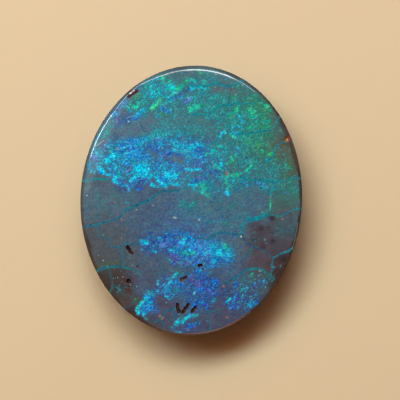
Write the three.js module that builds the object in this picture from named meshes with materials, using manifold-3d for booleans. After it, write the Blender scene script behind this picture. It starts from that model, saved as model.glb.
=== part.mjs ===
// Boulder opal: a hand-cut oval cabochon of precious opal grown through dark
// ironstone, ground and polished as one stone. Millimetres, +Z up. The origin is
// the centre of the flat ground back, +Y runs along the stone's length and +Z
// points out of the polished face.
import * as THREE from "three";
import { mergeVertices } from "three/addons/utils/BufferGeometryUtils.js";
import Module from "manifold-3d";

// ---- driving dimensions -------------------------------------------------
const LENGTH = 14.0; // girdle, along Y
const WIDTH = 11.5; // girdle, along X
const THICKNESS = 3.6; // flat back to the crown of the dome
const DOME_RISE = 0.5; // crown above the edge of the polished face
const GIRDLE_Z = 2.36; // height of the widest line
const SHOULDER = 0.168; // plan width of the rounded edge, mean
const SHOULDER_SWING = 0.048; // it is wider towards the head of the stone, on the left
const SHOULDER_AT = (118 * Math.PI) / 180; // where it is widest
const BACK_SHARE = 0.865; // flat back, as a share of the girdle
const BACK_EDGE = 0.22; // rounding where the flank meets the back
const UPRIGHT = 0.85; // height over which the flank turns upright below the girdle
const TURN_OVER = 1.5; // how far the rounded edge turns, in radians
const LOBE_COS = -0.00245; // slight three-sided wander of a hand-ground oval
const LOBE_SIN = 0.00153;

const SEGMENTS = 84; // round the oval
const DOME_ROWS = 11;
const SHOULDER_ROWS = 7;
const FLANK_ROWS = 6;

// Open pits that the polish has cut into, each [x, y, half length, half width,
// depth, turn in degrees], on the polished face.
const PITS = [
  [-3.006, -2.819, 0.325, 0.12, 0.16, -54.5], // left, two-lobed
  [-2.981, -4.437, 0.155, 0.13, 0.16, 3.5], // in the brown corner
  [0.674, -3.4, 0.125, 0.105, 0.15, 3.5], // round, right of the middle
  [-0.144, -4.141, 0.25, 0.125, 0.13, 37], // middle
  [-0.326, -5.691, 0.33, 0.09, 0.15, -72.8], // three long ones near the foot
  [0.07, -5.667, 0.38, 0.085, 0.15, 58.8],
  [0.477, -5.697, 0.28, 0.095, 0.15, 60.9],
  [4.805, 3.426, 0.175, 0.15, 0.12, -33.4], // rusty bead hole at the right edge
];

// ---- the ground stone ---------------------------------------------------
const EDGE_Z = THICKNESS - DOME_RISE;
const ROUND = Math.min(WIDTH, LENGTH) / 2;
const shoulder0 = SHOULDER / ROUND; // as a share of the radius

// Half section from the middle of the back, round the edge, to the crown:
// x is a share of the girdle radius, y is the height.
const section = [new THREE.Vector2(0, 0)];
section.push(new THREE.Vector2(BACK_SHARE - BACK_EDGE / ROUND, 0));
for (let i = 1; i <= 3; i++) {
  const a = (i / 3) * 1.15;
  section.push(
    new THREE.Vector2(
      BACK_SHARE - (BACK_EDGE / ROUND) * (1 - Math.sin(a)),
      BACK_EDGE * (1 - Math.cos(a)),
    ),
  );
}
const low = section[section.length - 1].clone();
// A sloping flank that turns upright as it reaches the girdle.
const flank = new THREE.QuadraticBezierCurve(
  low,
  new THREE.Vector2(1, GIRDLE_Z - UPRIGHT),
  new THREE.Vector2(1, GIRDLE_Z),
);
section.push(...flank.getPoints(FLANK_ROWS).slice(1));
// A quarter of a tall ellipse: it leaves the girdle upright and turns over into
// the polished face in a tight rounded edge.
for (let i = 1; i <= SHOULDER_ROWS; i++) {
  const a = Math.sqrt(i / SHOULDER_ROWS) * TURN_OVER;
  section.push(
    new THREE.Vector2(
      1 - (shoulder0 * (1 - Math.cos(a))) / (1 - Math.cos(TURN_OVER)),
      GIRDLE_Z + ((EDGE_Z - GIRDLE_Z) * Math.sin(a)) / Math.sin(TURN_OVER),
    ),
  );
}
for (let i = 1; i <= DOME_ROWS; i++) {
  const r = (1 - shoulder0) * (1 - i / DOME_ROWS);
  const k = r / (1 - shoulder0);
  section.push(
    new THREE.Vector2(i === DOME_ROWS ? 0 : r, EDGE_Z + DOME_RISE * (1 - k * k)),
  );
}

const stoneShape = new THREE.LatheGeometry(section, SEGMENTS);
stoneShape.rotateX(Math.PI / 2); // the lathe's axis becomes +Z
{
  const p = stoneShape.attributes.position;
  for (let i = 0; i < p.count; i++) {
    let r = Math.hypot(p.getX(i), p.getY(i));
    const z = p.getZ(i);
    const a = Math.atan2(p.getY(i), p.getX(i));
    if (z > GIRDLE_Z && r > 0) {
      const here =
        (SHOULDER + SHOULDER_SWING * Math.cos(a - SHOULDER_AT)) / ROUND;
      r =
        r <= 1 - shoulder0
          ? (r * (1 - here)) / (1 - shoulder0)
          : 1 - ((1 - r) * here) / shoulder0;
    }
    const k = 1 + LOBE_COS * Math.cos(3 * a) + LOBE_SIN * Math.sin(3 * a);
    p.setXYZ(
      i,
      (WIDTH / 2) * k * r * Math.cos(a),
      (LENGTH / 2) * k * r * Math.sin(a),
      z,
    );
  }
}
// Put the middle of the oval over the origin, at its full length and width.
stoneShape.computeBoundingBox();
{
  const box = stoneShape.boundingBox;
  stoneShape.translate(
    -(box.min.x + box.max.x) / 2,
    -(box.min.y + box.max.y) / 2,
    -box.min.z,
  );
  stoneShape.scale(
    WIDTH / (box.max.x - box.min.x),
    LENGTH / (box.max.y - box.min.y),
    1,
  );
}

// ---- cut the open pits --------------------------------------------------
const wasm = await Module();
wasm.setup();

function solid(geometry) {
  const bare = geometry.clone();
  bare.deleteAttribute("normal");
  bare.deleteAttribute("uv");
  const merged = mergeVertices(bare, 1e-4);
  return new wasm.Manifold(
    new wasm.Mesh({
      numProp: 3,
      vertProperties: merged.attributes.position.array,
      triVerts: new Uint32Array(merged.index.array),
    }),
  );
}

function faceHeight(x, y) {
  const k = Math.hypot(x / (WIDTH / 2 - SHOULDER), y / (LENGTH / 2 - SHOULDER));
  return EDGE_Z + DOME_RISE * (1 - k * k);
}

let stoneSolid = solid(stoneShape);
for (const [x, y, halfLength, halfWidth, depth, turn] of PITS) {
  const pit = new THREE.SphereGeometry(1, 12, 8);
  pit.scale(halfLength, halfWidth, depth);
  pit.rotateZ((turn * Math.PI) / 180);
  pit.translate(x, y, faceHeight(x, y));
  stoneSolid = stoneSolid.subtract(solid(pit));
}

const cut = stoneSolid.getMesh();
const positions = new Float32Array(cut.numVert * 3);
for (let i = 0; i < cut.numVert; i++)
  positions.set(
    cut.vertProperties.subarray(i * cut.numProp, i * cut.numProp + 3),
    i * 3,
  );
const stoneGeometry = new THREE.BufferGeometry()
  .setAttribute("position", new THREE.BufferAttribute(positions, 3))
  .setIndex(new THREE.BufferAttribute(new Uint32Array(cut.triVerts), 1));
stoneGeometry.computeVertexNormals();

// ---- the finished piece -------------------------------------------------
const opal = new THREE.Mesh(
  stoneGeometry,
  new THREE.MeshStandardMaterial({
    color: new THREE.Color(0x3d6f80),
    roughness: 0.12,
    metalness: 0,
  }),
);
opal.name = "boulder_opal";

const part = new THREE.Group();
part.name = "boulder_opal_cabochon";
part.add(opal);

export default part;
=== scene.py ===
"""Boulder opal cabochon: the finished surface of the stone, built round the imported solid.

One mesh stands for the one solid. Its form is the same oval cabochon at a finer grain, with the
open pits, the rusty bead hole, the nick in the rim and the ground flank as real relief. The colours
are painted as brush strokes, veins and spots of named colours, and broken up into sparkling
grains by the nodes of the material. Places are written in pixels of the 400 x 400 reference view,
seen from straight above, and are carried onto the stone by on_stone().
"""

import math

import bpy
import bmesh
import numpy as np
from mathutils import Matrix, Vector
from mathutils.kdtree import KDTree


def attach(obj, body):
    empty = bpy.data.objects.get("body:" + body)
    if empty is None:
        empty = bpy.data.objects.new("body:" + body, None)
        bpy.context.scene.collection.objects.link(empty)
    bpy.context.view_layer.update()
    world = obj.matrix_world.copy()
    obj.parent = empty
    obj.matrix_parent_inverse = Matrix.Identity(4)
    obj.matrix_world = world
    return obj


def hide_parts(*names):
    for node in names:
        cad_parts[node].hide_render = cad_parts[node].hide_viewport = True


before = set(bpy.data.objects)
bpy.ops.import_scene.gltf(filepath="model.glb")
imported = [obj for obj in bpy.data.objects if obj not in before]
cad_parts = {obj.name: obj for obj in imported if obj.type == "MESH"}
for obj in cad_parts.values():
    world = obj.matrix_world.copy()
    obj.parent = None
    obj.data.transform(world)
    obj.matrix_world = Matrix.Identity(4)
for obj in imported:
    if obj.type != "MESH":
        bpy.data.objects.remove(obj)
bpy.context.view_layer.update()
scene = bpy.context.scene

# ------------------------------------------------------------------ the form, in millimetres
LENGTH, WIDTH, THICKNESS = 14.0, 11.5, 3.6
DOME_RISE, GIRDLE_Z = 0.5, 2.36
SHOULDER, SHOULDER_SWING, SHOULDER_AT = 0.168, 0.048, math.radians(118)
BACK_SHARE, BACK_EDGE, UPRIGHT, TURN_OVER = 0.865, 0.22, 0.85, 1.5
LOBE_COS, LOBE_SIN = -0.00245, 0.00153
EDGE_Z = THICKNESS - DOME_RISE
ROUND = WIDTH / 2

THIN_AT, THIN_REACH = math.radians(125.6), math.radians(8.7)  # where the edge is ground thinner
EDGE_TILT = math.radians(10)  # slope of the dome where the rounded edge begins

GRID = 248  # cells across the polished face
SHOULDER_ROWS, FLANK_ROWS, EDGE_ROWS = 7, 19, 4

# The reference view: where the middle of the oval is, how it is turned, and its scale.
MIDDLE = (191.19, 200.27)
TURN = math.radians(-3.459)
MM_PER_PX = 14.0 / 268.84
EYE_XY = (0.457, 0.042)  # under the camera, mm
EYE_ABOVE = 156.23  # camera above the girdle, mm


def smooth(lo, hi, x):
    t = np.clip((np.asarray(x, float) - lo) / (hi - lo), 0, 1)
    return t * t * (3 - 2 * t)


def lattice(ix, iy, iz, seed):
    h = (
        ix.astype(np.int64) * 374761393
        + iy.astype(np.int64) * 668265263
        + iz.astype(np.int64) * 2147483647
        + seed * 974634777
    ) & 0xFFFFFFFF
    h = ((h ^ (h >> 13)) * 1274126177) & 0xFFFFFFFF
    h = ((h ^ (h >> 16)) * 2246822519) & 0xFFFFFFFF
    return ((h ^ (h >> 15)) & 0xFFFFFF) / float(0xFFFFFF)


def noise(p, size, seed):
    """Smooth noise from -1 to 1 at points p, with features of about this size."""
    q = np.asarray(p, float) / size
    i = np.floor(q).astype(np.int64)
    f = q - i
    f = f * f * (3 - 2 * f)
    out = 0.0
    for dx in (0, 1):
        for dy in (0, 1):
            for dz in (0, 1):
                w = (
                    (f[:, 0] if dx else 1 - f[:, 0])
                    * (f[:, 1] if dy else 1 - f[:, 1])
                    * (f[:, 2] if dz else 1 - f[:, 2])
                )
                out = out + w * lattice(i[:, 0] + dx, i[:, 1] + dy, i[:, 2] + dz, seed)
    return out * 2 - 1


def flat(px, py):
    return np.stack([px, py, np.zeros_like(px)], 1)


# ------------------------------------------------------------------ surface of the stone
def shoulder_here(a):
    thin = np.exp(-(((a - THIN_AT + math.pi) % (2 * math.pi) - math.pi) / THIN_REACH) ** 2)
    return (SHOULDER + SHOULDER_SWING * np.cos(a - SHOULDER_AT)) / ROUND * (1 - 0.5 * thin)


def lobe(a):
    return 1 + LOBE_COS * np.cos(3 * a) + LOBE_SIN * np.sin(3 * a)


_a = np.linspace(0, 2 * math.pi, 7201)
_x, _y = WIDTH / 2 * lobe(_a) * np.cos(_a), LENGTH / 2 * lobe(_a) * np.sin(_a)
OFF_X, OFF_Y = (_x.min() + _x.max()) / 2, (_y.min() + _y.max()) / 2
FIT_X, FIT_Y = WIDTH / (_x.max() - _x.min()), LENGTH / (_y.max() - _y.min())


def place(a, r, z):
    """Angle round the oval, share of the girdle radius and height to x, y, z."""
    k = lobe(a) * r
    return np.stack(
        [
            (WIDTH / 2 * k * np.cos(a) - OFF_X) * FIT_X,
            (LENGTH / 2 * k * np.sin(a) - OFF_Y) * FIT_Y,
            np.broadcast_to(z, np.shape(k)),
        ],
        -1,
    )


def oval(x, y):
    """x, y to the angle and the share of the girdle radius."""
    u, v = (x / FIT_X + OFF_X) / (WIDTH / 2), (y / FIT_Y + OFF_Y) / (LENGTH / 2)
    a = np.arctan2(v, u)
    return a, np.hypot(u, v) / lobe(a)


def face_height(x, y):
    a, r = oval(x, y)
    here = shoulder_here(a)
    k = np.minimum(r / (1 - here), 1)
    dome = EDGE_Z + DOME_RISE * (1 - k * k)
    edge = EDGE_Z - fillet(here) * (math.cos(EDGE_TILT) - np.sqrt(1 - edge_sine(r, here) ** 2))
    return np.where(r <= 1 - here, dome, edge)


def fillet(here):
    """Radius of the rounded edge."""
    return here * ROUND / (1 - math.sin(EDGE_TILT))


def edge_sine(r, here):
    """How far the rounded edge has turned down: the sine of its slope."""
    return np.clip(1 - (1 - r) / here * (1 - math.sin(EDGE_TILT)), 0, 1)


def on_stone(px, py):
    """Pixels of the reference view to x, y, z on the polished face."""
    px, py = np.asarray(px, float), np.asarray(py, float)
    c, s = math.cos(TURN), math.sin(TURN)
    z = np.full(px.shape, GIRDLE_Z)
    for _ in range(3):
        grow = (EYE_ABOVE + GIRDLE_Z - z) / EYE_ABOVE
        qx, qy = 200 + (px - 200) * grow, 200 + (py - 200) * grow
        dx, dy = qx - MIDDLE[0], MIDDLE[1] - qy
        x, y = (dx * c + dy * s) * MM_PER_PX, (-dx * s + dy * c) * MM_PER_PX
        z = face_height(x, y)
    return np.stack([x, y, z], -1)


def in_view(p):
    """x, y, z on the stone to pixels of the reference view."""
    c, s = math.cos(TURN), math.sin(TURN)
    dx = (p[:, 0] * c - p[:, 1] * s) / MM_PER_PX
    dy = (p[:, 0] * s + p[:, 1] * c) / MM_PER_PX
    grow = EYE_ABOVE / (EYE_ABOVE + GIRDLE_Z - p[:, 2])
    return (
        200 + (MIDDLE[0] + dx - 200) * grow,
        200 + (MIDDLE[1] - dy - 200) * grow,
    )


# The half section below the girdle, from the girdle down to the flat back.
_low = np.array(
    [
        BACK_SHARE - BACK_EDGE / ROUND * (1 - math.sin(1.15)),
        BACK_EDGE * (1 - math.cos(1.15)),
    ]
)


def flank_section(rows):
    t = np.linspace(1, 0, rows + 1)[:, None]
    mid, top = np.array([1, GIRDLE_Z - UPRIGHT]), np.array([1, GIRDLE_Z])
    return (1 - t) ** 2 * _low + 2 * t * (1 - t) * mid + t * t * top


_fine = flank_section(400)


def flank_share(z):
    return np.interp(z, _fine[::-1, 1], _fine[::-1, 0])


# ------------------------------------------------------------------ the mesh
verts_a, verts_r, verts_z, verts_zone, faces = [], [], [], [], []


def add(a, r, z, zone):
    first = sum(len(v) for v in verts_a)
    a = np.atleast_1d(a)
    verts_a.append(a)
    verts_r.append(np.broadcast_to(r, a.shape).astype(float))
    verts_z.append(np.broadcast_to(z, a.shape).astype(float))
    verts_zone.append(np.full(a.shape, zone))
    return np.arange(first, first + len(a))


def disc(cells):
    """A square grid drawn in to a disc in concentric rings: angle and ring share of each corner,
    and the corners of its outer ring, anticlockwise."""
    u = np.linspace(-1, 1, cells + 1)
    p, q = np.meshgrid(u, u, indexing="ij")
    wide = np.abs(p) > np.abs(q)
    with np.errstate(divide="ignore", invalid="ignore"):
        phi = np.where(
            wide, math.pi / 4 * (q / p), math.pi / 2 - math.pi / 4 * (p / q)
        )
    rad = np.where(wide, p, q)
    phi = np.where(rad == 0, 0, phi)
    x, y = rad * np.cos(phi), rad * np.sin(phi)
    n = cells
    ring = (
        [(n, j) for j in range(n)]
        + [(n - i, n) for i in range(n)]
        + [(0, n - j) for j in range(n)]
        + [(i, 0) for i in range(n)]
    )
    ids = np.arange((n + 1) ** 2).reshape(n + 1, n + 1)
    quads = np.stack(
        [ids[:-1, :-1], ids[1:, :-1], ids[1:, 1:], ids[:-1, 1:]], -1
    ).reshape(-1, 4)
    return (
        np.arctan2(y, x).ravel(),
        np.hypot(x, y).ravel(),
        np.array([ids[i, j] for i, j in ring]),
        quads,
    )


def band(upper, lower):
    """Faces between two rings, the lower one as fine or half as fine. Outward."""
    n = len(upper)
    if len(lower) == n:
        for i in range(n):
            j = (i + 1) % n
            faces.append((upper[i], lower[i], lower[j], upper[j]))
        return
    m = len(lower)
    for i in range(m):
        j = (i + 1) % m
        a, b, c = upper[2 * i], upper[2 * i + 1], upper[(2 * i + 2) % n]
        faces.append((a, lower[i], b))
        faces.append((b, lower[i], lower[j]))
        faces.append((b, lower[j], c))


# The polished face.
ang, ring_share, outer, quads = disc(GRID)
top = add(
    ang,
    ring_share * (1 - shoulder_here(ang)),
    EDGE_Z + DOME_RISE * (1 - ring_share**2),
    0,
)
faces += [tuple(f) for f in top[quads]]
last = top[outer]
ring_ang = ang[outer]
# The rounded edge, turning down to an upright wall, and the wall down to the girdle.
ring_here = shoulder_here(ring_ang)
for i in range(1, SHOULDER_ROWS + 1):
    t = EDGE_TILT + (math.pi / 2 - EDGE_TILT) * i / SHOULDER_ROWS
    share = 1 - ring_here * (1 - math.sin(t)) / (1 - math.sin(EDGE_TILT))
    z = EDGE_Z - fillet(ring_here) * (math.cos(EDGE_TILT) - math.cos(t))
    row = add(ring_ang, share, z, 1)
    band(last, row)
    last = row
wall_top = EDGE_Z - fillet(ring_here) * math.cos(EDGE_TILT)
for i in (1, 2):
    row = add(ring_ang, 1.0, wall_top + (GIRDLE_Z - wall_top) * i / 2, 1)
    band(last, row)
    last = row
# The flank, half as fine round the oval.
half_ang = ring_ang[::2]
for r, z in flank_section(FLANK_ROWS)[1:]:
    row = add(half_ang, r, z, 2)
    band(last, row)
    last = row
# The rounding into the flat back.
for i in range(EDGE_ROWS - 1, -1, -1):
    t = i / EDGE_ROWS * 1.15
    row = add(
        half_ang,
        BACK_SHARE - BACK_EDGE / ROUND * (1 - math.sin(t)),
        BACK_EDGE * (1 - math.cos(t)),
        3,
    )
    band(last, row)
    last = row
# The flat ground back.
ang, ring_share, outer, quads = disc(GRID // 4)
back_share = BACK_SHARE - BACK_EDGE / ROUND
back = add(ang, ring_share * back_share * (1 - 2.0 / GRID), 0.0, 4)
faces += [tuple(f[::-1]) for f in back[quads]]
band(last, back[outer])

A = np.concatenate(verts_a)
R = np.concatenate(verts_r)
Z = np.concatenate(verts_z)
ZONE = np.concatenate(verts_zone)
P = place(A, R, Z)

# Pits and nicks, in pixels: the line down the middle, radius, depth in mm, floor colour.
PITS = [
    ([(127.9, 247.2), (129.2, 249.6)], 2.15, 0.15, "pit_black"),
    ([(130.0, 251.0), (131.9, 253.2)], 1.75, 0.12, "pit_brown"),
    ([(137.4, 266.6)], 1.05, 0.05, "pit_brown"),
    ([(128.4, 281.0), (128.8, 281.4)], 2.4, 0.15, "pit_black"),
    ([(129.6, 286.6)], 1.2, 0.06, "pit_black"),
    ([(199.4, 265.7), (200.8, 265.2)], 1.95, 0.14, "pit_black"),
    ([(202.6, 268.9)], 0.85, 0.05, "pit_dark"),
    ([(181.6, 280.0), (182.4, 279.4)], 2.2, 0.11, "pit_tan"),
    ([(183.4, 278.4), (185.9, 277.4)], 1.35, 0.1, "pit_brown"),
    ([(177.2, 304.6), (177.6, 308.5), (179.2, 311.8)], 1.8, 0.14, "pit_brown"),
    ([(188.4, 304.4), (186.0, 307.6), (183.0, 312.4)], 1.75, 0.14, "pit_brown"),
    ([(195.0, 307.4), (193.6, 309.8), (191.9, 311.8)], 1.75, 0.14, "pit_brown"),
    ([(287.2, 139.1)], 2.9, 0.12, "rust"),
]


def pit_reach(p3, grow=0.0):
    """For each point, the largest share of the way into a pit, and which pit."""
    px, py = in_view(p3)
    best, which, depth = np.full(len(px), -9.0), np.zeros(len(px), int), np.zeros(len(px))
    for n, (line, radius, deep, _) in enumerate(PITS):
        near = np.hypot(px - line[0][0], py - line[0][1]) < 30
        q = np.stack([px[near], py[near]], 1)
        d = np.full(len(q), 1e9)
        pts = line if len(line) > 1 else line * 2
        for (x0, y0), (x1, y1) in zip(pts[:-1], pts[1:]):
            v = np.array([x1 - x0, y1 - y0])
            t = np.clip(((q - (x0, y0)) @ v) / max(v @ v, 1e-9), 0, 1)
            d = np.minimum(d, np.hypot(*(q - (x0, y0) - t[:, None] * v).T))
        if n != len(PITS) - 1:  # the bead hole is clean and round
            d = d + 0.42 * noise(flat(q[:, 0], q[:, 1]), 1.6, 31 + n)
        into = 1 - d / (radius + grow)
        at = np.flatnonzero(near)[into > best[near]]
        best[at] = into[into > best[near]]
        which[at] = n
        depth[at] = deep
    return best, which, depth


opal_mesh = bpy.data.meshes.new("boulder_opal_stone")
bm = bmesh.new()
zone_layer = bm.verts.layers.int.new("zone")
bvs = [bm.verts.new(p) for p in P]
for v, zn in zip(bvs, ZONE):
    v[zone_layer] = int(zn)
for f in faces:
    bm.faces.new([bvs[i] for i in f])
bm.faces.ensure_lookup_table()

# Finer faces where there are pits.
for grow in (1.1, 0.5):
    vp = np.array([v.co for v in bm.verts])
    into = pit_reach(vp, grow)[0]
    into[[v[zone_layer] > 1 for v in bm.verts]] = -9
    bm.verts.index_update()
    hit = [f for f in bm.faces if len(f.verts) == 4 and max(into[v.index] for v in f.verts) > -0.05]
    edges = {e for f in hit for e in f.edges}
    bmesh.ops.subdivide_edges(bm, edges=list(edges), cuts=1, use_grid_fill=True)
bm.normal_update()
bm.to_mesh(opal_mesh)
bm.free()

n_verts = len(opal_mesh.vertices)
P = np.empty(n_verts * 3, np.float64)
opal_mesh.vertices.foreach_get("co", P)
P = P.reshape(-1, 3)
ZONE = np.empty(n_verts, np.int32)
opal_mesh.attributes["zone"].data.foreach_get("value", ZONE)
opal_mesh.attributes.remove(opal_mesh.attributes["zone"])
flank = ZONE >= 2
A, R = oval(P[:, 0], P[:, 1])
face = (ZONE == 0) | ((ZONE == 1) & (R < 0.9995))
P[face, 2] = face_height(P[face, 0], P[face, 1])
FORM = P.copy()  # the clean ground form, before the relief

# ------------------------------------------------------------------ colours, sRGB 0 to 255
COLOURS = {
    # play of colour
    "cyan": (0, 186, 236),
    "pale": (84, 212, 236),
    "aqua": (16, 160, 200),
    "teal": (44, 140, 153),
    "mint": (18, 204, 178),
    "lime": (26, 210, 150),
    "green": (44, 144, 132),
    "moss": (62, 132, 92),
    "sky": (42, 120, 202),
    "azure": (20, 112, 222),
    "deep": (44, 90, 174),
    "navy": (56, 84, 138),
    "violet": (90, 84, 164),
    "iris": (88, 108, 194),
    # the body of the stone
    "steel": (70, 104, 125),
    "slate": (70, 92, 114),
    "fog": (76, 99, 114),
    "ash": (76, 86, 96),
    "cloud": (86, 98, 102),
    "smoke": (76, 82, 86),
    "moor": (82, 90, 78),
    "mist": (78, 106, 124),
    "sea": (73, 103, 112),
    "deepsea": (70, 100, 118),
    "bluegrey": (70, 98, 127),
    "olive": (68, 102, 94),
    "dim": (66, 90, 98),
    "leaf": (72, 101, 102),
    "dusk": (73, 79, 101),
    "plum": (74, 71, 80),
    "mauve": (82, 75, 84),
    "umber": (70, 57, 56),
    "taupe": (64, 57, 56),
    "drab": (78, 70, 63),
    "night": (30, 25, 30),
    "russet": (78, 46, 34),
    "iron": (62, 46, 40),
    "dark_iron": (44, 34, 31),
    "maroon": (58, 28, 28),
    # copper: a copper tone of the ironstone on the flank, and at the lower rim a painted highlight
    "copper": (128, 90, 74),
    # rose: a painted highlight along the lower right edge
    "rose": (168, 122, 102),
    # rim_slate: slate grey of the steep edge wall, darkened partly as painted shade
    "rim_slate": (52, 62, 68),
    "rim_blue": (58, 91, 114),
    "rim_teal": (58, 96, 98),
    "rim_aqua": (46, 116, 132),
    "rim_sea": (50, 98, 120),
    "rim_grey": (60, 62, 66),
    "rust": (142, 74, 35),
    "ochre": (142, 100, 62),
    # veins
    "v_teal": (8, 124, 140),
    "v_sea": (10, 120, 132),
    "v_left": (26, 98, 120),
    "v_ink": (42, 80, 106),
    "v_grey": (48, 88, 92),
    "v_stain": (74, 92, 66),
    # v_pale: not a vein but a painted highlight, a thin line of light inside the right rim
    "v_pale": (128, 120, 118),
    "v_grass": (24, 150, 120),
    "v_cyan": (12, 108, 122),
    # pits and spots
    "pit_black": (34, 24, 26),
    "pit_dark": (44, 40, 52),
    "pit_brown": (58, 32, 24),
    "pit_tan": (76, 54, 38),
    "pink": (143, 104, 94),
    "white": (150, 164, 172),
    "cream": (206, 214, 166),
    # chip: a painted highlight, glare on the nick in the rim
    "chip": (214, 220, 230),
}


def colour(name):
    c = np.array(COLOURS[name]) / 255.0
    return np.where(c <= 0.04045, c / 12.92, ((c + 0.055) / 1.055) ** 2.4)


# The body, as soft patches: x, y, reach in pixels, colour.
BODY = """
150 76 12 sea    180 80 13 sea     215 92 15 sea     240 95 14 leaf    262 108 13 leaf
240 125 16 leaf  272 124 10 leaf   250 152 15 leaf   284 150 9 moor   290 168 8 moor   286 141 4 drab
205 125 15 sea   190 140 14 deepsea 165 122 14 mist  150 125 12 mist   128 130 10 mist
108 134 9 fog    130 108 12 deepsea 152 98 14 sea    115 150 12 bluegrey 140 152 14 bluegrey
180 158 12 mist  160 160 12 bluegrey 200 165 13 bluegrey 225 165 12 sea 262 182 12 sea
292 192 9 sea    95 165 9 deepsea  98 176 6 ash      145 195 13 slate    100 192 10 fog
95 208 12 fog    120 206 13 fog    105 228 12 ash    90 238 9 smoke    100 252 12 smoke
128 258 12 ash   118 240 10 ash    150 215 14 slate  140 228 14 slate  175 222 15 bluegrey
200 212 15 steel 225 210 15 steel  212 196 12 sea    238 196 12 steel  258 200 11 steel
282 200 10 olive 285 214 8 ash     288 228 8 dim   268 228 10 plum   262 242 11 plum
255 258 12 mauve 282 242 9 plum    280 262 8 umber   276 280 8 iron    238 250 11 fog
228 240 12 steel 228 268 13 bluegrey 195 228 13 bluegrey 150 262 14 slate 175 266 12 slate
125 300 5 drab    104 275 6 taupe  131 284 5 umber
272.8 218 1.9 night 261.5 228.5 1.9 night 255.5 239.5 3 night 271.8 241 2.5 night 263 247 2.2 night
284 259 3 night  265.5 220.5 3.5 steel  276 226 4 dim     281 233 4 dim
215 89 7 cloud    231 90 5 cloud     238 92 6 cloud      252 97 6 cloud     203 121 8 cloud
146 278 10 dusk  118 274 9 taupe   112 284 9 taupe   119 292 8 taupe   133 302 8 plum
142 286 8 slate  130 312 7 iron    165 304 10 dusk   168 318 11 dusk   215 316 12 dusk
222 298 10 dusk  240 318 9 dusk    195 300 12 bluegrey 190 328 9 dusk  245 290 12 slate
262 285 9 ash    105 262 8 smoke   256 300 9 plum    160 328 8 plum    215 278 7 ash
"""

# Play of colour, as brush strokes: colour, strength, half width in pixels, points.
WASHES = """
teal .32 15 | 144,96 200,86
aqua .22 6 | 156,90 168,88
teal .3 4 | 200,87 209,86
cyan .2 4 | 165,169 173,170
aqua .2 5 | 118,154 128,153
teal .30 6 | 96,140 110,124
teal .30 13 | 150,108 205,108
teal .30 14 | 215,90 240,95
green .24 13 | 228,104 258,110
teal .29 12 | 214,114 250,120
moss .27 11 | 254,106 266,120
teal .25 12 | 226,137 246,138
aqua .12 6 | 240,149 246,149
green .30 12 | 246,134 264,140
moss .24 11 | 252,146 268,156
teal .30 12 | 222,160 244,168
teal .36 11 | 252,164 276,170
teal .28 9 | 268,187 290,190
teal .16 9 | 246,184 262,186
moss .16 9 | 284,172 295,195
teal .22 10 | 196,120 214,124
sky .36 10 | 117,150 150,149
teal .44 6 | 140,139 160,134 169,133
teal .30 7 | 181,131 200,135
sky .29 11 | 160,143 200,149
aqua .13 11 | 146,137 182,147
aqua .14 5 | 124,170 134,172
aqua .18 6 | 213,152 221,153
aqua .15 5 | 180,318 188,314
aqua .2 4 | 99,154 102,160
teal .25 4 | 268,276 273,279
mint .13 6 | 256,124 266,124
green .07 6 | 252,99 260,101
azure .3 4 | 214,284 217,291
aqua .28 9 | 113,164 145,164
aqua .23 9 | 160,175 184,179
sky .26 9 | 195,158 215,175
sky .27 7 | 113,173 130,182
sky .34 6 | 158,166 180,168
navy .26 8 | 216,278 224,296
teal .30 8 | 202,184 236,184
teal .12 14 | 185,208 236,208
teal .10 14 | 95,205 122,201
sky .12 12 | 150,222 215,226
deep .48 9 | 150,244 172,244
sky .27 9 | 178,240 214,246
iris .25 5 | 198,246 206,248
sky .24 5 | 178,251 198,250
aqua .36 6 | 208,250 228,253
sky .42 8 | 181,257 226,256
sky .33 9 | 166,284 175,284
sky .25 5 | 215,260 223,260
teal .16 5 | 116,287 122,292
teal .14 6 | 220,118 228,118
deep .36 9 | 192,286 206,290
deep .30 6 | 204,280 213,287
teal .13 6 | 240,279 254,276
aqua .22 6 | 90,168 96,154
aqua .22 4 | 93,148 100,132
aqua .28 7 | 116,148 130,142
teal .2 6 | 104,136 114,128
aqua .14 6 | 141,95 150,90
aqua .2 7 | 200,183 210,184
sky .15 7 | 212,190 220,192
deep .36 8 | 195,301 205,303
deep .56 5 | 212,285 217,293
sky .3 5 | 166,290 171,296
aqua .2 6 | 190,162 198,160
aqua .2 5 | 130,120 138,118
teal .2 6 | 158,116 168,117
teal .2 6 | 220,143 228,146
sky .35 5 | 138,181 146,180
sky .40 6 | 151,296 143,310
sky .28 5 | 147,306 154,308
sky .10 5 | 172,328 192,317
navy .24 9 | 238,288 254,294
deep .24 7 | 232,304 250,303
deep .12 5 | 184,327 200,327
sky .24 6 | 205,268 196,276
"""

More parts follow.
